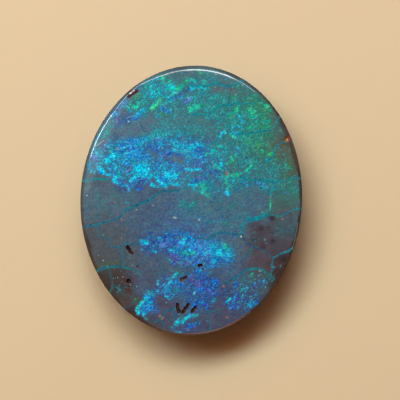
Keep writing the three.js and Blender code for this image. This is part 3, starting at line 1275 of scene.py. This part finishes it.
# Ironstone: it takes over down the flank and covers the back. How far down the opal reaches.
reach = round_rim([0.16, 0.12, 0.10, 0.10, 0.10, 0.16, 0.34, 0.38, 0.42, 0.5, 0.55, 0.52, 0.5, 0.4, 0.2, 0.12, 0.1, 0.14, 0.2, 0.24, 0.22, 0.18, 0.12, 0.1])
contact = reach + 0.10 * noise(FORM, 1.3, 21) + 0.06 * noise(FORM, 0.45, 22) + 0.035 * noise(FORM, 0.2, 23)
iron = smooth(-0.05, 0.07, down - contact) * flank
iron = np.where(ZONE >= 3, 1.0, iron)
flash *= 1 - iron
flash = np.where(flank, flash * 0.55, flash)

# Veins, as lines in space on the surface.
vein_pts, vein_half, vein_power, vein_rgb = [], [], [], []


def lay(p3, half, power, rgb):
    step = np.r_[0, np.cumsum(np.linalg.norm(np.diff(p3, axis=0), axis=1))]
    s = np.arange(0, step[-1], 0.015)
    vein_pts.append(np.stack([np.interp(s, step, p3[:, i]) for i in range(3)], 1))
    vein_half.append(np.broadcast_to(half, s.shape) if np.ndim(half) == 0 else np.interp(s, step, half))
    vein_power.append(np.broadcast_to(power, s.shape) if np.ndim(power) == 0 else np.interp(s, step, power))
    vein_rgb.append(np.broadcast_to(rgb, (len(s), 3)))


def rounded(pts, seed):
    """A line through the points with its corners eased and a slight natural wander."""
    step = np.r_[0, np.cumsum(np.hypot(*np.diff(pts, axis=0).T))]
    s = np.linspace(0, step[-1], max(int(step[-1] / 0.7), 3))
    line = np.stack([np.interp(s, step, pts[:, i]) for i in (0, 1)], 1)
    for _ in range(2):
        line[1:-1] = 0.25 * line[:-2] + 0.5 * line[1:-1] + 0.25 * line[2:]
    w = flat(line[:, 0], line[:, 1])
    ends = np.sin(np.linspace(0, math.pi, len(s)))
    line[:, 0] += 0.35 * noise(w, 3.1, seed) * ends
    line[:, 1] += 0.35 * noise(w, 3.1, seed + 1) * ends
    return line


for n, ((name, strength, half), tail) in enumerate(parse(VEINS)):
    carried = [w for w in ("<", ">") if w in tail]
    at_start = bool(carried) and (tail[0] == "<" or tail[-1] == "<")
    pts = points([w for w in tail if w not in "<>"])
    half, strength = float(half) * MM_PER_PX, float(strength)
    line = rounded(pts, 100 + 2 * n)
    lay(on_stone(line[:, 0], line[:, 1]), half, strength, colour(name))
    if carried:
        end = on_stone(*(pts[0] if at_start else pts[-1])[:, None])[0]
        a0, r0 = oval(end[0], end[1])
        # over the rounded edge
        shares = np.linspace(r0, 1, 24)
        hold = place(np.full(24, a0), shares, 0.0)
        over = np.c_[hold[:, :2], face_height(hold[:, 0], hold[:, 1])]
        # and on down the flank, drifting as it goes
        zs = np.linspace(GIRDLE_Z, 0.12, 60)
        t = (GIRDLE_Z - zs) / GIRDLE_Z
        drift = (0.09 + 0.08 * math.sin(2.3 * n)) * t + 0.022 * np.sin(4.5 * t + n) * t + 0.009 * np.sin(13 * t + 2 * n) * smooth(0, 0.2, t)
        stop = 0.15 + 0.5 * ((0.618 * n) % 1)  # some run further down than others
        run = place(a0 + drift * (1 if n % 2 else -1), flank_share(zs), zs)
        lay(
            np.r_[over, run],
            np.r_[np.full(24, half), half * (1 - 0.2 * smooth(0, 0.15, t) - 0.4 * t)],
            np.r_[np.full(24, strength), strength * (1 - 0.5 * smooth(0, 0.2, t)) * (1 - smooth(stop, stop + 0.35, t))],
            colour(name),
        )
vein_pts, vein_half = np.concatenate(vein_pts), np.concatenate(vein_half)
vein_power, vein_rgb = np.concatenate(vein_power), np.concatenate(vein_rgb)
tree = KDTree(len(vein_pts))
for i, p in enumerate(vein_pts):
    tree.insert(p, i)
tree.balance()
nearest = np.array([tree.find(p)[1] for p in FORM])
to_vein = vein_pts[nearest] - FORM
too_far = np.linalg.norm(to_vein, axis=1) > 1.0
to_vein[too_far] = (1.0, 0.0, 0.0)

# Spots, in the same way: the way to the nearest one and its radius.
spot_pts, spot_r, spot_rgb = [], [], []
for (name, radius), tail in parse(SPOTS):
    ends = points(tail)
    for t in np.linspace(0, 1, 4 + 2 * int(np.hypot(*(ends[-1] - ends[0])))):
        q = ends[0] * (1 - t) + ends[-1] * t
        spot_pts.append(on_stone(*q[:, None])[0])
        spot_r.append(float(radius) * MM_PER_PX)
        spot_rgb.append(colour(name))
spot_pts, spot_r, spot_rgb = np.array(spot_pts), np.array(spot_r), np.array(spot_rgb)
tree = KDTree(len(spot_pts))
for i, p in enumerate(spot_pts):
    tree.insert(p, i)
tree.balance()
nearest_spot = np.array([tree.find(p)[1] for p in FORM])
to_spot = (spot_pts[nearest_spot] - FORM) / spot_r[nearest_spot][:, None]
to_spot[np.linalg.norm(to_spot, axis=1) > 9] = (9.0, 0.0, 0.0)

# ------------------------------------------------------------------ relief
normal = np.empty(n_verts * 3)
opal_mesh.vertices.foreach_set("co", FORM.ravel())
opal_mesh.update()
opal_mesh.vertices.foreach_get("normal", normal)
normal = normal.reshape(-1, 3)

into, which, deep = pit_reach(FORM)
into[ZONE > 1] = -9
bowl = np.sqrt(np.clip(1 - (1 - np.clip(into, 0, 1)) ** 2, 0, 1))
lift = -deep * bowl * smooth(0, 0.25, into)
pit = smooth(-0.04, 0.14, into)
pit_rgb = np.array([colour(p[3]) for p in PITS])[which]

# The nick in the rim at the upper left, where the ironstone shows.
nick = to_line(vx, vy, np.array([[128.9, 96.9], [136.6, 90.6]]))
nick_mask = (1 - smooth(1.0, 2.4, nick + 0.6 * noise(wob, 2.2, 51))) * (ZONE < 2)
lift -= 0.004 * nick_mask
below = EDGE_Z - FORM[:, 2] + 0.12 * noise(FORM, 0.3, 52)
nick_under = np.exp(-(((view_angle - 119.5) / 2.6) ** 2)) * smooth(0.02, 0.08, below) * (1 - smooth(0.12, 0.36, below)) * (ZONE <= 2)

# Tiny chips round the girdle, and the ground, porous flank.
rng = np.random.default_rng(7)
chips = np.zeros(n_verts)
for _ in range(26):
    a, z, rad = rng.uniform(0, 2 * math.pi), GIRDLE_Z - abs(rng.normal(0, 0.35)), rng.uniform(0.07, 0.2)
    c = place(np.array(a), float(flank_share(z)), z)
    d = np.linalg.norm(FORM - c, axis=1) / rad
    chips = np.maximum(chips, rad * 0.22 * np.clip(1 - d * d, 0, 1))
pores = np.zeros(n_verts)
for _ in range(110):
    a, z, rad = rng.uniform(0, 2 * math.pi), rng.uniform(0.15, 2.2), rng.uniform(0.06, 0.17)
    c = place(np.array(a), float(flank_share(z)), z)
    d = np.linalg.norm(FORM - c, axis=1) / rad
    pores = np.maximum(pores, rad * 0.3 * np.clip(1 - d * d, 0, 1))
for _ in range(60):
    a, r, rad = rng.uniform(0, 2 * math.pi), math.sqrt(rng.uniform(0, 0.66)), rng.uniform(0.07, 0.2)
    c = place(np.array(a), r, 0.0)
    d = np.linalg.norm(FORM - c, axis=1) / rad
    pores = np.maximum(pores, rad * 0.22 * np.clip(1 - d * d, 0, 1))
side = flank & (ZONE <= 3)
fade = smooth(0.02, 0.2, down)
lift -= np.where(side, fade * (0.022 + 0.020 * noise(FORM, 0.75, 61) + 0.010 * noise(FORM, 0.28, 62)), 0)
# flats left by the grinding wheel
lift -= np.where(side, fade * 0.03 * (0.5 + 0.5 * np.cos(A * 23 + 2.5 * np.sin(3 * A))) * smooth(0.15, 0.5, down), 0)
lift -= np.where(flank, chips * 0.6 + pores * iron, 0)
lift += np.where(ZONE == 0, 0.0025 * noise(FORM, 1.9, 63) * smooth(0.0, 0.06, 1 - R), 0)
# the back stays on its flat: only hollows, none proud of it
lift = np.where(ZONE == 4, -np.abs(0.004 * noise(FORM, 0.5, 64)) - pores, lift)
lift = np.where((ZONE >= 3), np.minimum(lift, 0), lift)
P = FORM + normal * lift[:, None]
P[:, 2] = np.clip(P[:, 2], 0, THICKNESS)
opal_mesh.vertices.foreach_set("co", (P * 0.001).ravel())
opal_mesh.polygons.foreach_set("use_smooth", np.ones(len(opal_mesh.polygons), bool))
opal_mesh.update()
opal_mesh.validate()

# Colours of the pits, the nick and the rusty ironstone go into the body.
body = body * (1 - pit[:, None]) + pit_rgb * pit[:, None]
maroon = np.clip(nick_mask + nick_under, 0, 1)[:, None]
body = body * (1 - maroon) + colour("maroon") * maroon
flash *= (1 - pit) * (1 - maroon[:, 0])
vein_shown = vein_power[nearest] * (1 - pit) * (1 - maroon[:, 0])
vein_shown = np.where(ZONE == 4, 0, vein_shown)
rusty = (which == len(PITS) - 1) * pit
polish = 1 - 0.88 * smooth(0.37, 0.52, edge_sine(R, shoulder_here(A))) * (ZONE == 1)
polish = np.where(flank, 0.15 * (1 - smooth(0.1, 0.3, down)), polish)
polish = np.where(ZONE >= 3, 0.0, polish) * (1 - (pit - rusty) * 0.9) * (1 - 0.9 * nick_mask)


def keep(name, kind, values):
    layer = opal_mesh.attributes.new(name, kind, "POINT")
    layer.data.foreach_set("vector" if kind == "FLOAT_VECTOR" else "value", np.ascontiguousarray(values, np.float32).ravel())


keep("body", "FLOAT_VECTOR", body)
keep("flash", "FLOAT", flash)
keep("flash_colour", "FLOAT_VECTOR", flash_colour)
keep("to_vein", "FLOAT_VECTOR", to_vein)
keep("vein", "FLOAT_VECTOR", np.stack([vein_half[nearest], vein_shown, dusting * (1 - pit) * (1 - iron) * (1 - rim_mask)], 1))
keep("vein_colour", "FLOAT_VECTOR", vein_rgb[nearest])
keep("to_spot", "FLOAT_VECTOR", to_spot)
keep("spot_colour", "FLOAT_VECTOR", spot_rgb[nearest_spot])
keep("surface", "FLOAT_VECTOR", np.stack([polish, iron, np.clip(pit + maroon[:, 0], 0, 1)], 1))

# ------------------------------------------------------------------ the map that the finish is laid out on
loops = np.empty(len(opal_mesh.loops), np.int32)
opal_mesh.loops.foreach_get("vertex_index", loops)
starts = np.empty(len(opal_mesh.polygons), np.int32)
counts = np.empty(len(opal_mesh.polygons), np.int32)
opal_mesh.polygons.foreach_get("loop_start", starts)
opal_mesh.polygons.foreach_get("loop_total", counts)
face_of = np.repeat(np.arange(len(starts)), counts)
lz = ZONE[loops]
deepest = np.maximum.reduceat(lz, starts)[face_of]
p = FORM[loops]
uv = np.zeros((len(loops), 2))
# the polished face, lying along the map
on_top = deepest <= 1
spread = 1 + 0.035 * smooth(0.93, 1.0, R) + 0.03 * np.clip((EDGE_Z - 0.2 - FORM[:, 2]) / 0.54, 0, 1)
tx, ty = (FORM[:, 0] * spread)[loops], (FORM[:, 1] * spread)[loops]
per_mm = 0.0555
uv[on_top, 0] = 0.43 + ty[on_top] * per_mm
uv[on_top, 1] = 0.648 - tx[on_top] * per_mm
# the flank, in two strips
turn_at = (A[loops] / (2 * math.pi)) % 1.0
first = np.repeat(turn_at[starts], counts)
turn_at = np.where(turn_at - first > 0.5, turn_at - 1, np.where(first - turn_at > 0.5, turn_at + 1, turn_at))
middle = np.add.reduceat(turn_at, starts) / counts
strip = (np.floor(middle * 2) % 2).astype(int)[face_of]
along = (turn_at - np.floor(middle * 2)[face_of] / 2) * 2
side_face = (deepest >= 2) & (deepest <= 3)
slant = np.clip((GIRDLE_Z - p[:, 2]) / GIRDLE_Z, 0, 1)
inward = np.clip((BACK_SHARE - R[loops]) / (BACK_EDGE / ROUND), 0, 1) * (lz >= 3)
depth_uv = 0.9 * slant + 0.1 * inward
uv[side_face, 0] = 0.012 + along[side_face] * 0.976
uv[side_face, 1] = 0.295 - strip[side_face] * 0.148 - depth_uv[side_face] * 0.132
# the back
on_back = deepest == 4
uv[on_back, 0] = 0.922 + p[on_back, 0] * 0.0145
uv[on_back, 1] = 0.655 + p[on_back, 1] * 0.0145
layer = opal_mesh.uv_layers.new(name="OFBake")
layer.uv.foreach_set("vector", uv.astype(np.float32).ravel())

stone = bpy.data.objects.new("boulder_opal_stone", opal_mesh)
scene.collection.objects.link(stone)


# ------------------------------------------------------------------ the finish
def shader(name):
    m = bpy.data.materials.new(name)
    m.use_nodes = True
    t = m.node_tree
    t.nodes.clear()
    return m, t


mat, tree_ = shader("opal_in_ironstone")
N, L = tree_.nodes, tree_.links


def put(socket, value):
    if hasattr(value, "is_output"):
        L.new(value, socket)
    elif isinstance(value, (tuple, list)) and socket.type == "RGBA" and len(value) == 3:
        socket.default_value = (*value, 1.0)
    else:
        socket.default_value = value


def math_(op, a, b=None, c=None, clamp=False):
    n = N.new("ShaderNodeMath")
    n.operation, n.use_clamp = op, clamp
    for s, v in zip(n.inputs, (a, b, c)):
        if v is not None:
            put(s, v)
    return n.outputs[0]


def vec(op, a, b=None, scale=None):
    n = N.new("ShaderNodeVectorMath")
    n.operation = op
    put(n.inputs[0], a)
    if b is not None:
        put(n.inputs[1], b)
    if scale is not None:
        put(n.inputs["Scale"], scale)
    return n.outputs["Value" if op in ("LENGTH", "DOT_PRODUCT") else "Vector"]


def blend(fac, a, b, mode="MIX"):
    n = N.new("ShaderNodeMix")
    n.data_type, n.blend_type, n.clamp_factor = "RGBA", mode, True
    put(n.inputs["Factor"], fac)
    put([s for s in n.inputs if s.name == "A" and s.type == "RGBA"][0], a)
    put([s for s in n.inputs if s.name == "B" and s.type == "RGBA"][0], b)
    return [s for s in n.outputs if s.type == "RGBA"][0]


def ease(x, lo, hi, out_lo=0.0, out_hi=1.0):
    n = N.new("ShaderNodeMapRange")
    n.interpolation_type = "SMOOTHSTEP"
    for s, v in zip(("Value", "From Min", "From Max", "To Min", "To Max"), (x, lo, hi, out_lo, out_hi)):
        put(n.inputs[s], v)
    return n.outputs["Result"]


def attr(name, out="Vector"):
    n = N.new("ShaderNodeAttribute")
    n.attribute_name = name
    return n.outputs[out]


def split(v):
    n = N.new("ShaderNodeSeparateXYZ")
    put(n.inputs[0], v)
    return n.outputs


def noise_tex(v, scale, detail=2.0, rough=0.5):
    n = N.new("ShaderNodeTexNoise")
    put(n.inputs["Vector"], v)
    n.inputs["Scale"].default_value = scale
    n.inputs["Detail"].default_value = detail
    n.inputs["Roughness"].default_value = rough
    return n.outputs["Fac"]


def cells(v, scale, feature="F1"):
    n = N.new("ShaderNodeTexVoronoi")
    n.feature = feature
    put(n.inputs["Vector"], v)
    n.inputs["Scale"].default_value = scale
    return n


def turned(v, degrees, stretch):
    n = N.new("ShaderNodeMapping")
    n.vector_type = "TEXTURE"
    put(n.inputs["Vector"], v)
    n.inputs["Rotation"].default_value = (0, 0, math.radians(degrees))
    n.inputs["Scale"].default_value = (stretch, 1, 1)
    return n.outputs[0]


coord = N.new("ShaderNodeTexCoord").outputs["Object"]
mm = vec("SCALE", coord, scale=1000.0)
flow = turned(mm, 27, 1.4)

# grains of opal, each with its own brightness and hue
flash_ = attr("flash", "Fac")
big, small = cells(flow, 15.0), cells(flow, 27.0)
b_rgb, s_rgb = split(big.outputs["Color"]), split(small.outputs["Color"])
drift = noise_tex(turned(mm, 24, 2.0), 2.6, 3.0, 0.55)
fleck = noise_tex(turned(mm, 38, 1.8), 7.5, 2.0, 0.6)
broken = math_("MULTIPLY_ADD", ease(drift, 0.3, 0.7), 0.5, math_("MULTIPLY_ADD", ease(fleck, 0.3, 0.7), 0.9, 0.3))
play = math_("MULTIPLY", flash_, broken)
threshold = ease(math_("ADD", math_("MULTIPLY", b_rgb[0], 0.60), math_("MULTIPLY", s_rgb[0], 0.40)), 0.06, 0.94)
_, f_green, f_blue = split(attr("flash_colour"))
greener = ease(math_("SUBTRACT", f_green, f_blue), -0.06, 0.10)
soft = math_("MULTIPLY_ADD", greener, -0.09, 0.2)  # green grains stand apart and vary the most
lit = ease(math_("SUBTRACT", play, threshold), math_("MULTIPLY", soft, -1.0), soft)
lit = math_("MULTIPLY", lit, ease(play, 0.04, 0.32))
tint = N.new("ShaderNodeHueSaturation")
spread_ = math_("MULTIPLY_ADD", greener, 0.05, 0.085)
put(tint.inputs["Hue"], math_("ADD", math_("MULTIPLY_ADD", math_("SUBTRACT", b_rgb[1], 0.5), spread_, 0.4675), math_("MULTIPLY", s_rgb[1], 0.035)))
put(tint.inputs["Value"], math_("MULTIPLY_ADD", s_rgb[2], 0.85, ease(play, 0.25, 0.8, 0.34, 0.56)))
put(tint.inputs["Saturation"], math_("MULTIPLY_ADD", math_("SUBTRACT", b_rgb[2], 0.5), math_("MULTIPLY_ADD", greener, 0.2, 0.12), 1.0))
put(tint.inputs["Color"], attr("flash_colour", "Color"))

# the body between them, softly mottled and speckled
mottle = noise_tex(flow, 3.2, 4.0, 0.6)
speck = noise_tex(mm, 15.0, 3.0, 0.7)
shade = math_("ADD", math_("MULTIPLY_ADD", mottle, 0.70, 0.33), math_("ADD", math_("MULTIPLY", speck, 0.34), math_("MULTIPLY", b_rgb[0], 0.16)))
warm = blend(ease(noise_tex(flow, 4.5, 3.0, 0.6), 0.34, 0.66), (0.92, 1.02, 1.05), (1.12, 0.97, 0.92))
quiet = N.new("ShaderNodeHueSaturation")
put(quiet.inputs["Saturation"], math_("MULTIPLY_ADD", b_rgb[2], 0.3, 0.85))
put(quiet.inputs["Value"], shade)
put(quiet.inputs["Hue"], math_("MULTIPLY_ADD", b_rgb[1], 0.08, 0.46))
put(quiet.inputs["Color"], blend(1.0, attr("body", "Color"), warm, "MULTIPLY"))
body_ = blend(ease(flash_, 0.0, 0.75, 0.0, 0.8), quiet.outputs["Color"], vec("SCALE", attr("flash_colour"), scale=0.52))
paint = blend(lit, body_, tint.outputs["Color"])

# glints, where a grain catches the light full on
spark = cells(flow, 15.0)
sp_rgb = split(spark.outputs["Color"])
glint = math_("MULTIPLY", ease(spark.outputs["Distance"], 0.46, 0.20), ease(math_("ADD", sp_rgb[0], math_("MULTIPLY", play, 0.26)), 0.90, 1.04))
glint = math_("MULTIPLY", glint, ease(flash_, 0.05, 0.50, 0.0, 0.9))
shine = N.new("ShaderNodeHueSaturation")
put(shine.inputs["Hue"], math_("MULTIPLY_ADD", sp_rgb[1], 0.13, 0.39))
shine.inputs["Value"].default_value = 1.35
put(shine.inputs["Color"], attr("flash_colour", "Color"))
paint = blend(glint, paint, shine.outputs["Color"])

# a dust of opal in the quiet stone: single grains that catch the light
half_, shown_, dusting_ = split(attr("vein"))
dusty = math_("MULTIPLY", ease(math_("MULTIPLY_ADD", dusting_, 0.12, b_rgb[2]), 0.96, 1.04), ease(dusting_, 0.0, 1.5, 0.3, 0.85))
dusty = math_("MULTIPLY", dusty, ease(flash_, 0.65, 0.2))
grain_hue = N.new("ShaderNodeHueSaturation")
put(grain_hue.inputs["Hue"], math_("MULTIPLY_ADD", b_rgb[1], 0.16, 0.41))
put(grain_hue.inputs["Value"], math_("MULTIPLY_ADD", math_("POWER", s_rgb[2], 2.0), 1.5, 0.4))
grain_hue.inputs["Saturation"].default_value = 0.95
put(grain_hue.inputs["Color"], blend(0.25, attr("flash_colour", "Color"), tuple(colour("aqua"))))
paint = blend(dusty, paint, grain_hue.outputs["Color"])

# veins
vein_at = math_("ADD", vec("LENGTH", attr("to_vein")), math_("MULTIPLY_ADD", noise_tex(mm, 11.0, 3.0, 0.65), 0.09, math_("MULTIPLY_ADD", b_rgb[0], 0.022, -0.058)))
vein_on = ease(vein_at, math_("MULTIPLY_ADD", half_, 1.35, 0.014), math_("MULTIPLY", half_, 0.45))
vein_on = math_("MULTIPLY", vein_on, math_("MULTIPLY", shown_, ease(noise_tex(mm, 5.0, 3.0), 0.25, 0.55, 0.55, 1.0)))
vein_tone = N.new("ShaderNodeHueSaturation")
put(vein_tone.inputs["Hue"], math_("MULTIPLY_ADD", b_rgb[1], 0.09, 0.455))
put(vein_tone.inputs["Value"], math_("MULTIPLY_ADD", s_rgb[1], 0.5, math_("MULTIPLY_ADD", b_rgb[2], 0.4, 0.55)))
put(vein_tone.inputs["Color"], attr("vein_colour", "Color"))
paint = blend(vein_on, paint, vein_tone.outputs["Color"])

# ironstone of the flank and back
polish_, iron_, pitted_ = split(attr("surface"))
lump = noise_tex(mm, 1.5, 5.0, 0.62)
grit = cells(mm, 11.0)
rock = blend(ease(lump, 0.36, 0.62), tuple(colour("dark_iron")), tuple(colour("iron") * 1.35))
rock = blend(ease(noise_tex(mm, 0.8, 4.0, 0.6), 0.5, 0.72, 0.0, 0.75), rock, tuple(colour("copper") * 0.8))
rock = blend(ease(noise_tex(mm, 2.4, 4.0, 0.65), 0.6, 0.74, 0.0, 0.6), rock, tuple(colour("ochre") * 0.9))
rock = blend(math_("MULTIPLY", ease(split(grit.outputs["Color"])[0], 0.8, 0.95), 0.55), rock, tuple(colour("dark_iron") * 0.6))
paint = blend(math_("MULTIPLY", iron_, math_("SUBTRACT", 1.0, math_("MULTIPLY", vein_on, 0.8))), paint, rock)

# spots
spot_at = vec("LENGTH", attr("to_spot"))
paint = blend(ease(spot_at, 1.2, 0.6, 0.0, 0.85), paint, attr("spot_colour", "Color"))

# polish: glassy face, satin ground flank, dull pits
rough = math_("ADD", ease(polish_, 0.0, 1.0, 0.58, 0.10), math_("MULTIPLY", math_("SUBTRACT", speck, 0.5), 0.06), clamp=True)
rough = math_("ADD", rough, math_("MULTIPLY", pitted_, 0.12), clamp=True)

# grinding lines and grain on the unpolished stone
lines = N.new("ShaderNodeMapping")
put(lines.inputs["Vector"], mm)
lines.inputs["Rotation"].default_value = (0.04, 0.03, 0)
lines.inputs["Scale"].default_value = (1.1, 1.1, 26)
ground = math_("ADD", math_("MULTIPLY", noise_tex(lines.outputs[0], 1.0, 3.0), 0.5), noise_tex(mm, 12.0, 4.0, 0.7))
ground = math_("MULTIPLY", ground, math_("POWER", math_("SUBTRACT", 1.0, polish_), 2.0))
bump = N.new("ShaderNodeBump")
bump.inputs["Strength"].default_value = 0.8
bump.inputs["Distance"].default_value = 0.00003
put(bump.inputs["Height"], ground)

bsdf = N.new("ShaderNodeBsdfPrincipled")
put(bsdf.inputs["Base Color"], paint)
put(bsdf.inputs["Roughness"], rough)
put(bsdf.inputs["Normal"], bump.outputs[0])
put(bsdf.inputs["Coat Weight"], polish_)
bsdf.inputs["IOR"].default_value = 1.45
bsdf.inputs["Specular IOR Level"].default_value = 0.3
bsdf.inputs["Coat Roughness"].default_value = 0.035
bsdf.inputs["Coat IOR"].default_value = 1.75
out = N.new("ShaderNodeOutputMaterial")
L.new(bsdf.outputs[0], out.inputs["Surface"])
for n in [n for n in N if n.bl_idname == "ShaderNodeTexNoise" and not n.inputs["Vector"].is_linked]:
    N.remove(n)
opal_mesh.materials.append(mat)

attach(stone, "root")
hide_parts("boulder_opal")

# ------------------------------------------------------------------ stage, light and camera
floor_mesh = bpy.data.meshes.new("floor")
floor_mesh.from_pydata([(-3, -3, 0), (3, -3, 0), (3, 3, 0), (-3, 3, 0)], [], [(0, 1, 2, 3)])
floor = bpy.data.objects.new("floor", floor_mesh)
floor.location.z = -0.00001
scene.collection.objects.link(floor)
fmat, ft = shader("pale_floor")
fb = ft.nodes.new("ShaderNodeBsdfPrincipled")
fb.inputs["Base Color"].default_value = (0.60, 0.455, 0.285, 1)
fb.inputs["Roughness"].default_value = 0.65
fb.subsurface_method = "BURLEY"  # light creeps into the shadow through the pale floor
fb.inputs["Subsurface Weight"].default_value = 1.0
fb.inputs["Subsurface Radius"].default_value = (1.0, 0.5, 0.28)
fb.inputs["Subsurface Scale"].default_value = 0.0026
fb.inputs["Specular IOR Level"].default_value = 0.2
fo = ft.nodes.new("ShaderNodeOutputMaterial")
ft.links.new(fb.outputs[0], fo.inputs["Surface"])
floor_mesh.materials.append(fmat)

world = bpy.data.worlds.new("studio")
scene.world = world
world.use_nodes = True
wt = world.node_tree
wt.nodes.clear()
wc = wt.nodes.new("ShaderNodeTexCoord")
wsep = wt.nodes.new("ShaderNodeSeparateXYZ")
wt.links.new(wc.outputs["Generated"], wsep.inputs[0])
ramp = wt.nodes.new("ShaderNodeValToRGB")
ramp.color_ramp.elements[0].position, ramp.color_ramp.elements[0].color = 0.0, (0.84, 0.50, 0.31, 1)
ramp.color_ramp.elements[1].position, ramp.color_ramp.elements[1].color = 0.93, (0.02, 0.02, 0.02, 1)
e = ramp.color_ramp.elements.new(0.70)
e.color = (0.53, 0.38, 0.275, 1)
wt.links.new(wsep.outputs["Z"], ramp.inputs[0])
wb = wt.nodes.new("ShaderNodeBackground")
wb.inputs["Strength"].default_value = 0.30
wt.links.new(ramp.outputs[0], wb.inputs["Color"])
wo = wt.nodes.new("ShaderNodeOutputWorld")
wt.links.new(wb.outputs[0], wo.inputs["Surface"])


def lamp(name, azimuth, elevation, distance, wide, high, power, tone=(1, 1, 1)):
    data = bpy.data.lights.new(name, "AREA")
    data.shape, data.size, data.size_y = "RECTANGLE", wide, high
    data.energy, data.color = power, tone
    o = bpy.data.objects.new(name, data)
    a, e_ = math.radians(azimuth), math.radians(elevation)
    way = Vector((math.cos(a) * math.cos(e_), math.sin(a) * math.cos(e_), math.sin(e_)))
    o.location = way * distance
    o.rotation_euler = way.to_track_quat("Z", "Y").to_euler()
    o.visible_camera = False
    scene.collection.objects.link(o)
    return o


key = lamp("key_softbox", 119, 62, 0.20, 0.11, 0.050, 0.370, (1.0, 0.99, 0.975))
key.visible_glossy = False  # only the boxes below are mirrored in the polish
# a curved row of narrow boxes, which draws the line of light along the rounded edge
for i, (az, el, wide, high, power) in enumerate(
    (
        (65, 56, 0.040, 0.020, 0.0096),
        (84, 58, 0.052, 0.044, 0.0590),
        (109, 55, 0.050, 0.020, 0.0275),
        (132, 55, 0.050, 0.020, 0.0250),
        (156, 56, 0.040, 0.028, 0.0470),
    )
):
    lamp("rim_softbox_%d" % i, az, el, 0.20, wide, high, power, (0.96, 0.99, 1.01))
# and two broad dim ones, for the soft sheen inside that line
lamp("sheen_softbox", 155, 66.0, 0.20, 0.075, 0.02, 0.0025, (1.0, 0.99, 0.98))
lamp("sheen_softbox_top", 82, 66.5, 0.20, 0.055, 0.018, 0.0015, (1.0, 0.99, 0.98))

cam = bpy.data.cameras.new("camera")
cam.sensor_width, cam.lens = 36, 270
cam.clip_start, cam.clip_end = 0.01, 20
eye = bpy.data.objects.new("camera", cam)
eye.location = (EYE_XY[0] * 0.001, EYE_XY[1] * 0.001, (EYE_ABOVE + GIRDLE_Z) * 0.001)
eye.rotation_euler = (0, 0, -TURN)
scene.collection.objects.link(eye)
scene.camera = eye

scene.view_settings.view_transform = "Standard"
scene.view_settings.look = "None"
scene.view_settings.exposure = 0
scene.view_settings.gamma = 1
